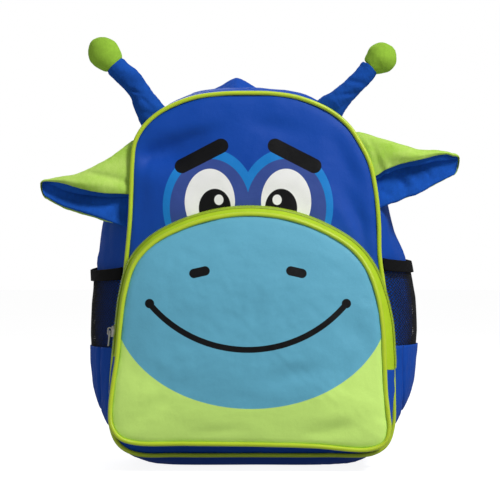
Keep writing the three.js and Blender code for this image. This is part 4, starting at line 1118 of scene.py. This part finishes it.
class BACKPACK_OT_stage(bpy.types.Operator):
    """Lays a pale floor and sets the studio light and the camera"""

    bl_idname = "backpack.stage"
    bl_label = "Stage"

    def execute(self, context):
        bpy.ops.mesh.primitive_circle_add(vertices=96, radius=9, fill_type="NGON")
        floor = context.object
        floor.name = "studio_floor"
        look = Look("studio_paper", roughness=0.95, specular_ior_level=0.05, emission_strength=1)
        seen = look.node("ShaderNodeLightPath")
        look.feed("Emission Color", look.blended(seen, (0.1, 0.1, 0.1), (0.9, 0.9, 0.9)))
        look.feed("Base Color", look.blended(look.noise(3, 2), (0.3, 0.3, 0.3), (0.33, 0.33, 0.33)))
        floor.data.materials.append(look.material)

        world = context.scene.world or bpy.data.worlds.new("studio")
        context.scene.world = world
        world.use_nodes = True
        tree = world.node_tree
        tree.nodes["Background"].inputs["Color"].default_value = (1, 1, 1, 1)
        tree.nodes["Background"].inputs["Strength"].default_value = 0.24
        paper = tree.nodes.new("ShaderNodeBackground")
        seen = tree.nodes.new("ShaderNodeLightPath")
        either = tree.nodes.new("ShaderNodeMixShader")
        tree.links.new(seen.outputs["Is Camera Ray"], either.inputs[0])
        tree.links.new(tree.nodes["Background"].outputs[0], either.inputs[1])
        tree.links.new(paper.outputs[0], either.inputs[2])
        tree.links.new(either.outputs[0], tree.nodes["World Output"].inputs[0])
        paper.inputs["Color"].default_value = (1, 1, 1, 1)
        for name, place, size, power in LAMPS:
            bpy.ops.object.light_add(type="AREA", location=place)
            lamp = context.object
            lamp.name = name
            lamp.data.shape = "SQUARE"
            lamp.data.size = size
            lamp.data.energy = power
            lamp.rotation_euler = (Vector((0, 0, 0.2)) - Vector(place)).to_track_quat("-Z", "Y").to_euler()

        bpy.ops.object.camera_add(location=CAMERA_PLACE, rotation=(math.pi / 2, 0, 0))
        camera = context.object
        camera.data.lens = CAMERA_LENS
        camera.data.sensor_width = 36
        camera.data.clip_end = 20
        context.scene.camera = camera
        context.scene.view_settings.view_transform = "Standard"
        return {"FINISHED"}


class BACKPACK_OT_body(bpy.types.Operator):
    """Sews the body: its printed front, its gusset and the piping between them"""

    bl_idname = "backpack.body"
    bl_label = "Body"

    def execute(self, context):
        colours, sizes = context.scene.backpack_colours, context.scene.backpack_sizes
        front = panel("front_panel", front_seam(), FRONT_CENTRE, front_seam_y, FRONT_CROWN, FRONT_DENTS, 150)
        roughened(front, depth=sizes.wrinkle / MM, grain=34, seed=3.0)
        print_blue = material("printed_cloth_blue", printed_front, colours)
        sewn(front, CLOTH_WALL, print_blue, "printed_cloth_blue", "main_front_panel", CUTS["front_panel"])

        shares = np.linspace(1, 0, 23)
        rows = [body_loop(share, -0.2) for share in shares]
        gusset = cloth_grid("gusset", closed(rows))
        self.fold(gusset, sizes.wrinkle)
        cloth = material("cloth_blue", plain_cloth, colours)
        sewn(gusset, CLOTH_WALL, cloth, "cloth_blue", "main_gusset", CUTS["gusset"])

        piping = tube("body_piping", front_seam(2 * BODY_POINTS), sizes.piping / MM / 2)
        finish(piping, material("piping_lime", satin_piping, colours), "piping_lime", "main_piping")
        return {"FINISHED"}

    def fold(self, gusset, wrinkle):
        """Soft dents down the sides, held at the seams, the zip and the base, and the side pockets' swell."""
        points = points_of(gusset)
        normals = np.array([v.normal[:] for v in gusset.data.vertices])
        y = points[:, 1] / MM - SHIFT[1]
        held = np.clip((y + BODY_DEPTH) / 18, 0, 1) * np.clip(-y / 14, 0, 1)
        held *= np.clip(points[:, 2] / 0.012, 0, 1)
        zipped = np.clip((points[:, 2] / MM - MAIN_ZIP_END_LEFT) / 30 + 1.4, 0, 1)
        held *= 1 - zipped * np.clip(2.4 - np.abs(y + BODY_DEPTH * (1 - MAIN_ZIP_PLACE)) / 12, 0, 1)
        heights = []
        for p in points:
            place = Vector((p[0] * 12, p[1] * 26, p[2] * 15))
            heights.append(noise.fractal(place, 0.6, 2.1, 3))
        depth = np.array(heights) * wrinkle * 3.4 - wrinkle * 0.6
        points += normals * (np.minimum(depth, wrinkle * 1.2) * held)[:, None]
        z = points[:, 2] / MM
        share = np.clip((0.95 - y / front_seam_y(z)) / 0.905, 0, 1)
        for pocket in SIDES.values():
            out = side_swell(z, pocket["top"], pocket["bulge"]) * np.sin(math.pi * share)
            behind = points[:, 0] * pocket["side"] > SIDE_WALL_START * MM
            points[:, 0] += pocket["side"] * out * SIDE_STUFFING * MM * behind
        move_points(gusset, points)


class BACKPACK_OT_main_zip(bpy.types.Operator):
    """Lays the main zip over the top of the gusset: tape and coil"""

    bl_idname = "backpack.main_zip"
    bl_label = "Main zip"

    def execute(self, context):
        colours, sizes = context.scene.backpack_colours, context.scene.backpack_sizes
        half = ZIP_WIDTH / 2 / BODY_DEPTH
        count = 2 * BODY_POINTS
        shares = MAIN_ZIP_PLACE + np.linspace(half, -half, len(TAPE_RISES))
        rows = [body_loop(share, rise, count) for share, rise in zip(shares, TAPE_RISES)]
        ends = np.where(rows[4][:, 0] > 0, MAIN_ZIP_END_RIGHT, MAIN_ZIP_END_LEFT)
        above = np.flatnonzero(rows[4][:, 2] > ends)
        tape = cloth_grid("main_zip_tape", [row[above] for row in rows])
        modified(tape, "SOLIDIFY", thickness=MAIN_TAPE_WALL * MM, offset=-1)
        finish(tape, material("zip_tape_lime", zip_tape, colours), "zip_lime", "main_zipper")

        line = body_loop(MAIN_ZIP_PLACE, 0.0, COIL_POINTS)
        ends = np.where(line[:, 0] > 0, MAIN_ZIP_END_RIGHT, MAIN_ZIP_END_LEFT) + 1
        coil = coil_along("main_zip_coil", body_loop, MAIN_ZIP_PLACE, COIL_WIDTH / 2 / BODY_DEPTH, ends,
                          sizes.tooth_pitch / MM)
        finish(coil, material("zip_coil_lime", zip_coil, colours), "zip_lime")
        return {"FINISHED"}


def coil_along(name, loop_at, place, half, ends, pitch):
    """A raised coil along a zip above its two ends, with a turn at each pitch. loop_at is the body's loop or
    the pocket's, and place and half are the coil's middle and half width as shares of that one's depth."""
    middle = loop_at(place, 0.0, COIL_POINTS)
    kept = np.flatnonzero(middle[:, 2] > ends)
    steps = np.linalg.norm(np.diff(middle[kept], axis=0), axis=1)
    length = np.concatenate([[0], np.cumsum(steps)])
    samples = np.arange(0, length[-1], pitch / 4)
    rows = []
    for across, rise in COIL_PROFILE:
        flat = loop_at(place + half * across, 0.0, COIL_POINTS)[kept]
        high = loop_at(place + half * across, 1.0, COIL_POINTS)[kept]
        turn = COIL_LEVEL + COIL_WAVE * np.cos(2 * math.pi * samples / pitch)
        base = np.stack([np.interp(samples, length, flat[:, k]) for k in range(3)], axis=1)
        out = np.stack([np.interp(samples, length, (high - flat)[:, k]) for k in range(3)], axis=1)
        rows.append(base + out * (rise * turn)[:, None])
    facing = np.cross(rows[0][1] - rows[0][0], rows[-1][0] - rows[0][0])
    if np.sum(facing * (loop_at(place, 1.0, COIL_POINTS) - middle)[kept][0]) < 0:
        rows.reverse()
    return cloth_grid(name, rows)


class BACKPACK_OT_back(bpy.types.Operator):
    """Pads the back and covers it with spacer mesh in three channels"""

    bl_idname = "backpack.back"
    bl_label = "Back"

    def execute(self, context):
        colours = context.scene.backpack_colours
        rim = body_loop(1)
        rim[:, 1] = 0
        rows = []
        for share, out in BACK_RINGS:
            x = mix(FRONT_CENTRE[0], rim[:, 0], share)
            z = mix(FRONT_CENTRE[1], rim[:, 2], share)
            inside = np.clip((0.95 - share) * 12, 0, 1)
            seam = sum(np.exp(-(((x - line) / BACK_SEAM_HALF_WIDTH) ** 2)) for line in BACK_SEAMS)
            level = sum(np.exp(-(((z - line) / BACK_SEAM_HALF_WIDTH) ** 2)) for line in BACK_LEVELS)
            level = level * (np.abs(x) < BACK_LEVEL_REACH)
            pillow = BACK_SWELL * np.cos(x / 30) ** 2
            y = out + (pillow - BACK_SEAM_DEPTH * np.maximum(seam, level * 0.8)) * inside
            rows.append(np.stack([x, np.minimum(y, BACK_FURTHEST), z], axis=1))
        back = cloth_grid("back_pad", closed(rows))
        in_edit_mode(back, (bpy.ops.mesh.flip_normals, {}))
        roughened(back, depth=0.5, grain=24, seed=7.0)
        modified(back, "SOLIDIFY", thickness=BACK_MESH_WALL * MM, offset=-1)
        finish(back, material("back_mesh", air_mesh, colours), "cloth_blue", "back_panel")
        return {"FINISHED"}


class BACKPACK_OT_pocket(bpy.types.Operator):
    """Sews the front pocket: its printed front, piping, lime zip with its coil, and blue side below"""

    bl_idname = "backpack.pocket"
    bl_label = "Front pocket"

    def execute(self, context):
        colours, sizes = context.scene.backpack_colours, context.scene.backpack_sizes
        front = panel("pocket_panel", pocket_seam(), POCKET_CENTRE, pocket_seam_y, POCKET_CROWN, POCKET_DENTS,
                      120)
        roughened(front, depth=sizes.wrinkle / MM, grain=30, seed=11.0)
        print_lime = material("printed_cloth_lime", printed_pocket, colours)
        sewn(front, CLOTH_WALL, print_lime, "printed_cloth_lime", "pocket_front_panel", CUTS["pocket_panel"])

        piping = tube("pocket_edge_piping", pocket_seam(2 * POCKET_POINTS), sizes.piping / MM / 2)
        finish(piping, material("piping_lime", satin_piping, colours), "piping_lime", "pocket_piping")

        loops = closed([pocket_loop(share, -0.2, 2 * POCKET_POINTS) for share in np.linspace(1.04, 0, 13)])
        tilt = (ZIP_END_RIGHT - ZIP_END_LEFT) / (2 * POCKET_HALF_WIDTH)
        middle = (Vector((0, 0, (ZIP_END_LEFT + ZIP_END_RIGHT) / 2)) + Vector(SHIFT)) * MM
        plane = {"plane_co": middle, "plane_no": (-tilt, 0, 1)}
        tape = cloth_grid("pocket_zip_tape", loops)
        in_edit_mode(tape, (bpy.ops.mesh.bisect, {**plane, "clear_inner": True}))
        modified(tape, "SOLIDIFY", thickness=POCKET_SIDE_WALL * MM, offset=-1)
        finish(tape, material("zip_tape_lime", zip_tape, colours), "zip_lime", "pocket_zipper")
        low = cloth_grid("pocket_side", loops)
        in_edit_mode(low, (bpy.ops.mesh.bisect, {**plane, "clear_outer": True}))
        roughened(low, depth=0.7, grain=22, seed=19.0)
        cloth = material("cloth_blue", plain_cloth, colours)
        sewn(low, POCKET_SIDE_WALL, cloth, "cloth_blue", "pocket_gusset", CUTS["pocket_side"])

        middle = pocket_loop(0.5, 0.0, COIL_POINTS)
        ends = np.where(middle[:, 0] > 0, ZIP_END_RIGHT, ZIP_END_LEFT) + 1
        coil = coil_along("pocket_zip_coil", pocket_loop, 0.5, COIL_WIDTH / 2 / ZIP_WIDTH, ends,
                          sizes.tooth_pitch / MM)
        finish(coil, material("zip_coil_lime", zip_coil, colours), "zip_lime")
        return {"FINISHED"}


class BACKPACK_OT_sliders(bpy.types.Operator):
    """Casts the two zips' sliders and the pocket's pull, and plates them with nickel"""

    bl_idname = "backpack.sliders"
    bl_label = "Sliders"

    def execute(self, context):
        for node, body in (("main_slider", "bag"), ("pocket_slider", "bag"), ("pocket_pull", "zip_pull")):
            piece = eased_copy(node, f"{node}_casting", 0.35)
            finish(piece, material("metal_silver", nickel), "metal_silver", node, body=body, crisp=True)
        return {"FINISHED"}


def ear_paths(name, count=64, turns=45):
    """Lines over an ear's ridge from its front edge to its rear edge, and its table's values at each."""
    ear, stations = EARS[name], EAR_TABLES[name]
    shape = {key: smooth_line(column, count) for key, column in stations.items()}
    root = SEAM_LIFT + BODY_HEIGHT * ear["rise"]
    x = ear["side"] * (BODY_HALF_WIDTH * ear["root"] + ear["reach"] * shape["along"])
    top, front, rear = (root + EAR_HEIGHT * shape[key] for key in ("ridge", "plush", "lobe"))
    half = EAR_SPREAD * shape["spread"]
    middle = front_seam_y(top) + EAR_SET
    fold = [
        (-0.86, front),
        (-1, mix(front, top, 0.4)),
        (-0.76, mix(front, top, 0.8)),
        (-0.36, mix(front, top, 0.96)),
        (0.1, top),
        (0.56, top - half * 0.25),
        (0.9, mix(rear, top, 0.62)),
        (0.84, mix(rear, top, 0.28)),
        (0.4, rear),
    ]
    knots = np.array([[x, middle + out * half, z] for out, z in fold]).transpose(0, 2, 1)
    paths = smooth_line(knots, turns).transpose(1, 0, 2)
    share = np.linspace(0, 1, turns)
    leaf = {"front": np.clip((0.42 - share) * 8, 0, 1), "rear": np.clip((share - 0.62) * 8, 0, 1)}
    paths[:, :, 1] += sunk(EAR_FOLDS[name], paths[:, :, 0], paths[:, :, 2]) * leaf["front"]
    paths[:, :, 1] += sunk(LOBE_FOLDS[name], paths[:, :, 0], paths[:, :, 2]) * leaf["rear"]
    return paths, shape


def leaf_piece(name, paths, near, far, tip):
    """A padded leaf between two depths inside its lines, with round edges and a round tip."""
    along = np.gradient(paths, axis=1)
    along[:, :, 0] = 0
    along /= np.linalg.norm(along, axis=2)[:, :, None]
    inward = np.stack([np.zeros(along.shape[:2]), along[:, :, 2], -along[:, :, 1]], axis=2)
    rows = []
    sections = [(0, 0.0, 0.0), *((i, 1.0, 0.0) for i in range(len(paths)))]
    sections += [(-1, math.sqrt(1 - ahead**2), ahead) for ahead in EAR_TIP_RINGS]
    for i, full, ahead in sections:
        middle, half = (near[i] + far[i]) / 2, (far[i] - near[i]) / 2 * full
        line = paths[i] + inward[i] * middle
        if ahead:
            line = mix(line.mean(axis=0), line, max(full, 0.1)) + np.array([tip * ahead, 0, 0])
        outer, inner = line - inward[i] * half, line + inward[i] * half
        caps = []
        turns = math.pi * np.arange(1, 6) / 6
        for end, way in ((-1, 1), (0, -1)):
            out, on = inward[i][end] * way * half, along[i][end] * way * half
            caps.append([line[end] - out * math.cos(t) + on * math.sin(t) for t in turns])
        rows.append(np.concatenate([outer, caps[0], inner[::-1], caps[1]]))
    leaf = cloth_grid(name, closed(rows))
    in_edit_mode(leaf, (bpy.ops.mesh.normals_make_consistent, {"inside": False}))
    return leaf


class BACKPACK_OT_ears(bpy.types.Operator):
    """Stuffs the two folded ears: a lime plush leaf over a blue one"""

    bl_idname = "backpack.ears"
    bl_label = "Ears"

    def execute(self, context):
        colours = context.scene.backpack_colours
        lime = material("plush_lime", plush, "plush_lime", colours.lime_plush, colour("D8F288"))
        blue = material("plush_blue", plush, "plush_blue", colours.blue_plush, shade(colours.blue_plush, 1.7))
        for name, ear in EARS.items():
            paths, shape = ear_paths(name)
            tip = ear["side"] * EAR_TIP
            start = np.zeros(len(paths))
            plush_depth = EAR_PLUSH * shape["spread"] ** 0.5
            outer = leaf_piece(f"ear_{name}_plush", paths, start, plush_depth, tip)
            roughened(outer, depth=0.35, grain=9, seed=1.0 + ear["side"])
            finish(outer, lime, "plush_lime", f"ear_{name}_outer")

            drop = EAR_HEIGHT * (shape["plush"] - shape["roll"])
            inner_paths = paths.copy()
            count = paths.shape[1]
            ease = np.clip(1 - np.arange(count) / (count * 0.16), 0, 1)
            inner_paths[:, :, 2] -= drop[:, None] * ease
            inner_paths[:, :, 1] += 4 * ease * shape["spread"][:, None]
            inner_paths[:, :, 2] -= 3 * np.clip(1 - shape["along"][:, None] / 0.25, 0, 1) * (1 - ease)
            hang = np.clip(1 - np.arange(count)[::-1] / (count * 0.1), 0, 1)
            low = ear["hang"] * np.clip((shape["along"] - 0.12) * 5, 0.25, 1)
            inner_paths[:, :, 2] -= low[:, None] * hang
            far = (EAR_PLUSH + EAR_PAD) * shape["spread"] ** 0.8
            near, far = plush_depth + 0.3, np.maximum(far, plush_depth + 1)
            inner = leaf_piece(f"ear_{name}_lining", inner_paths, near, far, tip * 0.72)
            roughened(inner, depth=0.35, grain=18, seed=5.0 + ear["side"])
            finish(inner, blue, "plush_blue", f"ear_{name}_inner")
        return {"FINISHED"}


class BACKPACK_OT_horns(bpy.types.Operator):
    """Stuffs the two horns: a blue plush stalk, pulled into folds, and a lime ball sewn to its end"""

    bl_idname = "backpack.horns"
    bl_label = "Horns"

    def execute(self, context):
        colours = context.scene.backpack_colours
        blue = material("plush_blue_horn", plush, "plush_blue_horn", shade(colours.blue_plush, 0.85),
                        shade(colours.blue_plush, 1.3), 0.3)
        dark_lime = material("plush_lime_ball", plush, "plush_lime_ball", shade(colours.lime_plush, 0.66),
                             shade(colours.lime_plush, 0.95), 0.3)
        for name, horn in HORNS.items():
            stalk = self.sleeve(f"horn_{name}_sleeve", horn, horn["stalk"], 72)
            points = points_of(stalk)
            x, y, z = points.T / MM - SHIFT[:, None]
            front = front_seam_y(SEAM_LIFT + BODY_HEIGHT * horn["root_rise"]) + HORN_SET
            side = np.clip((front - y) / 4, -1, 1)
            points[:, 1] += sunk(HORN_FOLDS[name], x, z) * side * MM
            move_points(stalk, points)
            roughened(stalk, depth=0.5, grain=8, seed=9.0 + horn["side"])
            finish(stalk, blue, "plush_blue", f"horn_{name}_stalk")
            ball = self.sleeve(f"horn_{name}_ball", horn, horn["ball"], 40)
            roughened(ball, depth=0.4, grain=14, seed=4.0)
            finish(ball, dark_lime, "plush_lime", f"horn_{name}_tip")
        return {"FINISHED"}

    def sleeve(self, name, horn, stations, count):
        """A stuffed tube through a horn's stations, drawn in where stalk and ball are sewn together."""
        across, rise, girth = smooth_line(stations, count).T
        root = SEAM_LIFT + BODY_HEIGHT * horn["root_rise"]
        x = horn["side"] * (BODY_HALF_WIDTH * horn["root"] + horn["reach"] * across)
        y = np.full(count, front_seam_y(root) + HORN_SET)
        z = root + horn["climb"] * rise
        radius = HORN_BALL * girth
        deep = np.minimum(radius, HORN_ROOT_DEPTH + np.clip(rise - 0.05, 0, 1) * HORN_SPREAD_DEPTH)
        if stations is horn["stalk"]:
            radius[-4:] -= np.array([0.1, 0.3, 0.6, 1.0])
        else:
            radius[:3] -= np.array([0.9, 0.3, 0.1])
        line = np.stack([x, y, z], axis=1)
        return tube(name, line, radius, 48, ring=False, flat=deep / radius)


def side_swell(z, top, bulge):
    """How far a side pocket stands off the body at a height."""
    share = (z - SIDE_BOTTOM) / (top - SIDE_BOTTOM)
    return bulge * np.interp(share, SIDE_SWELL["rise"], SIDE_SWELL["out"], left=0)


def side_sheet(pocket, heights, columns, extra=0.0):
    """Rows of points of a side pocket's sheet at some heights, from its front edge to its back edge. extra is
    how much further out than the pocket's cloth it lies."""
    side, net, top = pocket["side"], pocket["net"], pocket["top"]
    shares = np.linspace(*SIDE_SEAMS, columns)
    rows = np.zeros((len(heights), columns, 3))
    for j, share in enumerate(shares):
        loop = body_loop(share)
        half = loop[: BODY_POINTS // 2 + 1] if side > 0 else loop[BODY_POINTS // 2 :][::-1]
        order = np.argsort(half[:, 2])
        x = np.interp(heights, half[order, 2], half[order, 0])
        swell = side_swell(heights, top, pocket["bulge"])
        bow = max(math.sin(math.pi * j / (columns - 1)), 0) ** 0.5
        off = -SIDE_EDGE_SET + (SIDE_EDGE_ROUND + swell) * bow + extra
        rows[:, j, 0] = x + side * off
        rows[:, j, 1] = mix(front_seam_y(heights), 0, share)
        rows[:, j, 2] = heights - SIDE_SAG * bow * np.clip((heights - net) / (top - net), 0, 1) ** 2
    return rows if side < 0 else rows[:, ::-1]


class BACKPACK_OT_side_pockets(bpy.types.Operator):
    """Sews the two side pockets: cloth below, knitted net above it and an elastic band along the mouth"""

    bl_idname = "backpack.side_pockets"
    bl_label = "Side pockets"

    def execute(self, context):
        colours, sizes = context.scene.backpack_colours, context.scene.backpack_sizes
        for name, pocket in SIDES.items():
            side, net, top = pocket["side"], pocket["net"], pocket["top"]
            rows = side_sheet(pocket, np.linspace(SIDE_BOTTOM, net, 36), 97)
            crease = np.exp(-(((np.abs(rows[:, :, 0]) - pocket["crease"]) / CREASE_HALF_WIDTH) ** 2))
            rows[:, :, 0] -= side * CREASE_DEPTH * crease * np.clip((rows[:, :, 2] - SIDE_BOTTOM) / 30, 0, 1)
            rows[:, :, 1] += CREASE_SHIFT * crease
            base = cloth_grid(f"side_pocket_{name}_cloth", rows)
            roughened(base, depth=0.9, grain=20, seed=21.0, stretch=(1, 1.6, 0.5))
            cloth = material("cloth_blue", plain_cloth, colours)
            cut = (SIDE_CLOTH_WIDTH, (net - SIDE_BOTTOM) * MM * SIDE_CLOTH_EASE)
            sewn(base, SIDE_POCKET_WALL, cloth, "cloth_blue", f"side_pocket_base_{name}", cut)

            rows = side_sheet(pocket, np.linspace(top - SIDE_BAND, top, 9), 49, 0.5)
            elastic = cloth_grid(f"side_pocket_{name}_band", rows)
            modified(elastic, "SOLIDIFY", thickness=ELASTIC_WALL * MM, offset=-1)
            modified(elastic, "BEVEL", width=0.6 * MM, segments=2, limit_method="ANGLE")
            black = material("elastic_black", ribbed, "elastic_black", colour("070709"), 150)
            finish(elastic, black, "elastic_black", f"side_band_{name}")

            cell = sizes.net_cell / MM
            low, high = net - 1.5, top - SIDE_BAND + 1.5
            count, columns = int((high - low) / cell), int(SIDE_NET_WIDTH / cell)
            rows = side_sheet(pocket, np.linspace(low, high, count + 1), columns + 1, -0.5)
            net_wall = cloth_grid(f"side_pocket_{name}_net", rows)
            self.knit(net_wall, (count + 1) * (columns + 1))
            finish(net_wall, material("net_black", black_net), "net_black", f"side_net_{name}")
        return {"FINISHED"}

    def knit(self, sheet, corners):
        """Turns a grid with that many corners into yarn round diamond openings."""
        in_edit_mode(sheet, (bpy.ops.mesh.poke, {}))
        uses = {}
        for face in sheet.data.polygons:
            for key in face.edge_keys:
                uses[key] = uses.get(key, 0) + 1
        for edge in sheet.data.edges:
            old = max(edge.vertices) < corners
            edge.select = old and uses[tuple(sorted(edge.vertices))] == 2
        for item in (*sheet.data.vertices, *sheet.data.polygons):
            item.select = False
        bpy.ops.object.mode_set(mode="EDIT")
        bpy.ops.mesh.select_mode(type="EDGE")
        bpy.ops.mesh.dissolve_edges(use_verts=False)
        bpy.ops.mesh.select_mode(type="VERT")
        bpy.ops.object.mode_set(mode="OBJECT")
        modified(sheet, "WIREFRAME", thickness=NET_YARN * MM, use_boundary=True, use_replace=True)


def strap_line(side):
    """The middle of a shoulder strap, at its stations."""
    x = side * BODY_HALF_WIDTH * STRAP["across"]
    y = BACK_PAD + STRAP_REACH * STRAP["out"]
    z = SEAM_LIFT + BODY_HEIGHT * STRAP["rise"]
    return np.stack([x, y, z], axis=1)


def webbing_lines(side):
    """The bands round an adjuster's two outer bars: the strap's loop, the webbing from its anchor, and the
    direction across them."""
    end = strap_line(side)[-1]
    anchor = np.array([
        side * BODY_HALF_WIDTH * ANCHOR["across"],
        BACK_PAD + 4.6,
        SEAM_LIFT + BODY_HEIGHT * ANCHOR["rise"] + ANCHOR["side"] * 0.25,
    ])
    up = (end - anchor) / np.linalg.norm(end - anchor)
    wide = np.array([1.0, 0, 0]) - up * up[0]
    wide /= np.linalg.norm(wide)
    out = np.cross(wide, up)

    def placed(*points):
        return np.array([end - up * BUCKLE_DROP + up * y + out * z for y, z in points])

    bar = BUCKLE_BAR + BUCKLE_WINDOW
    turn = BUCKLE_PLATE / 2 + SEAM_GAP + WEBBING_WALL / 2
    over = BUCKLE_BAR / 2 + SEAM_GAP + WEBBING_WALL / 2
    loop = placed(
        (BUCKLE_DROP + 14, -0.95), (bar + over + 3.5, -turn * 0.75), (bar + 1.5, -turn),
        (bar - over + 1.2, -turn), (bar - over, 1.2 - turn), (bar - over, turn - 1.2),
        (bar - over + 1.2, turn), (bar + 1.5, turn), (bar + over + 3.5, turn * 0.75),
        (BUCKLE_DROP + 14, 0.95),
    )
    tail = placed(
        (-bar - 9, -turn), (over - bar - 1.2, -turn), (over - bar, 1.2 - turn), (over - bar, turn - 1.2),
        (over - bar - 1.2, turn), (-bar - 9, turn + 0.4), (-bar - 30, turn + 2.5), (-bar - 52, turn + 3),
    )
    shares = np.array([0, 0.12, 0.3, 0.55, 0.8])[:, None]
    sag = anchor + (tail[0] - anchor) * shares
    sag[:, 1] = np.maximum(sag[:, 1] - (7 * np.sin(math.pi * shares) * (1 - shares))[:, 0], anchor[1])
    return loop, np.concatenate([sag, tail]), wide


class BACKPACK_OT_straps(bpy.types.Operator):
    """Sews the padded shoulder straps, their webbing, adjusters and anchor tabs"""

    bl_idname = "backpack.straps"
    bl_label = "Shoulder straps"

    def execute(self, context):
        colours, sizes = context.scene.backpack_colours, context.scene.backpack_sizes
        cloth = material("cloth_blue", plain_cloth, colours)
        black = material("webbing_black", ribbed, "webbing_black", colour("15161A"), 70)
        for name, side in (("left", -1), ("right", 1)):
            pad = self.pad(name, side, sizes.strap_rows)
            finish(pad, cloth, "cloth_blue", f"shoulder_strap_{name}")
            loop, webbing, wide = webbing_lines(side)
            piece = band(f"strap_loop_{name}", eased_line(loop), wide, WEBBING_WIDTH, WEBBING_WALL)
            finish(piece, black, "webbing_black")
            name_woven = f"strap_webbing_{name}_woven"
            piece = band(name_woven, eased_line(webbing), wide, WEBBING_WIDTH, WEBBING_WALL)
            finish(piece, black, "webbing_black", f"strap_webbing_{name}")
            tab = eased_copy(f"strap_anchor_{name}", f"strap_anchor_{name}_cloth", 0.9)
            finish(tab, cloth, "cloth_blue", f"strap_anchor_{name}", crisp=True)
            adjuster = eased_copy(f"strap_adjuster_{name}", f"strap_adjuster_{name}_moulding", 0.8)
            finish(adjuster, material("plastic_black", moulded_plastic), "plastic_black",
                   f"strap_adjuster_{name}", crisp=True)
        return {"FINISHED"}

    def pad(self, name, side, count):
        """A strap's padding, thinner along the seam at each edge."""
        line = smooth_line(strap_line(side), count)
        width = smooth_line(STRAP["width"], count) * STRAP_WIDTH / 2
        thick = smooth_line(STRAP["pad"], count) * STRAP_PAD / 2
        along = np.gradient(line, axis=0)
        along /= np.linalg.norm(along, axis=1)[:, None]
        wide = np.array([1.0, 0, 0]) - along * along[:, :1]
        wide /= np.linalg.norm(wide, axis=1)[:, None]
        out = np.cross(along, wide)
        rows = []
        for t in 2 * math.pi * np.arange(STRAP_SIDES + 1) / STRAP_SIDES:
            c, s = math.cos(t), math.sin(t)
            a = math.copysign(abs(c) ** 0.5, c)
            b = math.copysign(abs(s) ** 0.8, s)
            edge = 1 - 0.45 * math.exp(-(((abs(a) - 0.84) / 0.05) ** 2))
            rows.append(line + wide * (a * width)[:, None] + out * (b * thick * edge)[:, None])
        pad = cloth_grid(f"shoulder_strap_{name}_pad", pinched(rows, line))
        in_edit_mode(pad, (bpy.ops.mesh.normals_make_consistent, {"inside": False}))
        return roughened(pad, depth=0.5, grain=16, seed=8.0)


class BACKPACK_OT_handle(bpy.types.Operator):
    """Sews the grab handle of folded blue cloth behind the top"""

    bl_idname = "backpack.handle"
    bl_label = "Grab handle"

    def execute(self, context):
        across, rise, tilt = (smooth_line(HANDLE[key], HANDLE_POINTS) for key in ("across", "rise", "tilt"))
        top = body_loop(1)[:, 2].max()
        behind = np.full(HANDLE_POINTS, HANDLE_SET)
        line = np.stack([BODY_HALF_WIDTH * across, behind, top + HANDLE_RISE * rise], axis=1)
        tilt = np.radians(tilt)
        wide = np.stack([np.zeros(HANDLE_POINTS), np.cos(tilt), np.sin(tilt)], axis=1)
        handle = band("handle_band", line, wide, HANDLE_WIDTH, HANDLE_WALL, 15)
        in_edit_mode(handle, (bpy.ops.mesh.normals_make_consistent, {"inside": False}))
        roughened(handle, depth=0.4, grain=14, seed=17.0)
        blue = material("cloth_blue", plain_cloth, context.scene.backpack_colours)
        finish(handle, blue, "webbing_blue", "grab_handle")
        return {"FINISHED"}


class BACKPACK_PT_panel(bpy.types.Panel):
    """Lists the backpack's pieces, colours and sizes"""

    bl_idname = "BACKPACK_PT_panel"
    bl_label = "Backpack"
    bl_space_type = "VIEW_3D"
    bl_region_type = "UI"
    bl_category = "Backpack"

    def draw(self, context):
        for step in STEPS:
            self.layout.operator(step.bl_idname)
        for group in (context.scene.backpack_colours, context.scene.backpack_sizes):
            for name in group.__annotations__:
                self.layout.prop(group, name)


STEPS = (
    BACKPACK_OT_stage,
    BACKPACK_OT_body,
    BACKPACK_OT_main_zip,
    BACKPACK_OT_back,
    BACKPACK_OT_pocket,
    BACKPACK_OT_sliders,
    BACKPACK_OT_ears,
    BACKPACK_OT_horns,
    BACKPACK_OT_side_pockets,
    BACKPACK_OT_straps,
    BACKPACK_OT_handle,
)
CLASSES = (BackpackColours, BackpackSizes, *STEPS, BACKPACK_PT_panel)


def register():
    for item in CLASSES:
        bpy.utils.register_class(item)
    bpy.types.Scene.backpack_colours = PointerProperty(type=BackpackColours)
    bpy.types.Scene.backpack_sizes = PointerProperty(type=BackpackSizes)


def unregister():
    del bpy.types.Scene.backpack_sizes
    del bpy.types.Scene.backpack_colours
    for item in reversed(CLASSES):
        bpy.utils.unregister_class(item)


def main():
    """Makes every piece in order."""
    register()
    for step in STEPS:
        getattr(bpy.ops.backpack, step.bl_idname.split(".")[1])()


if __name__ == "__main__":
    main()
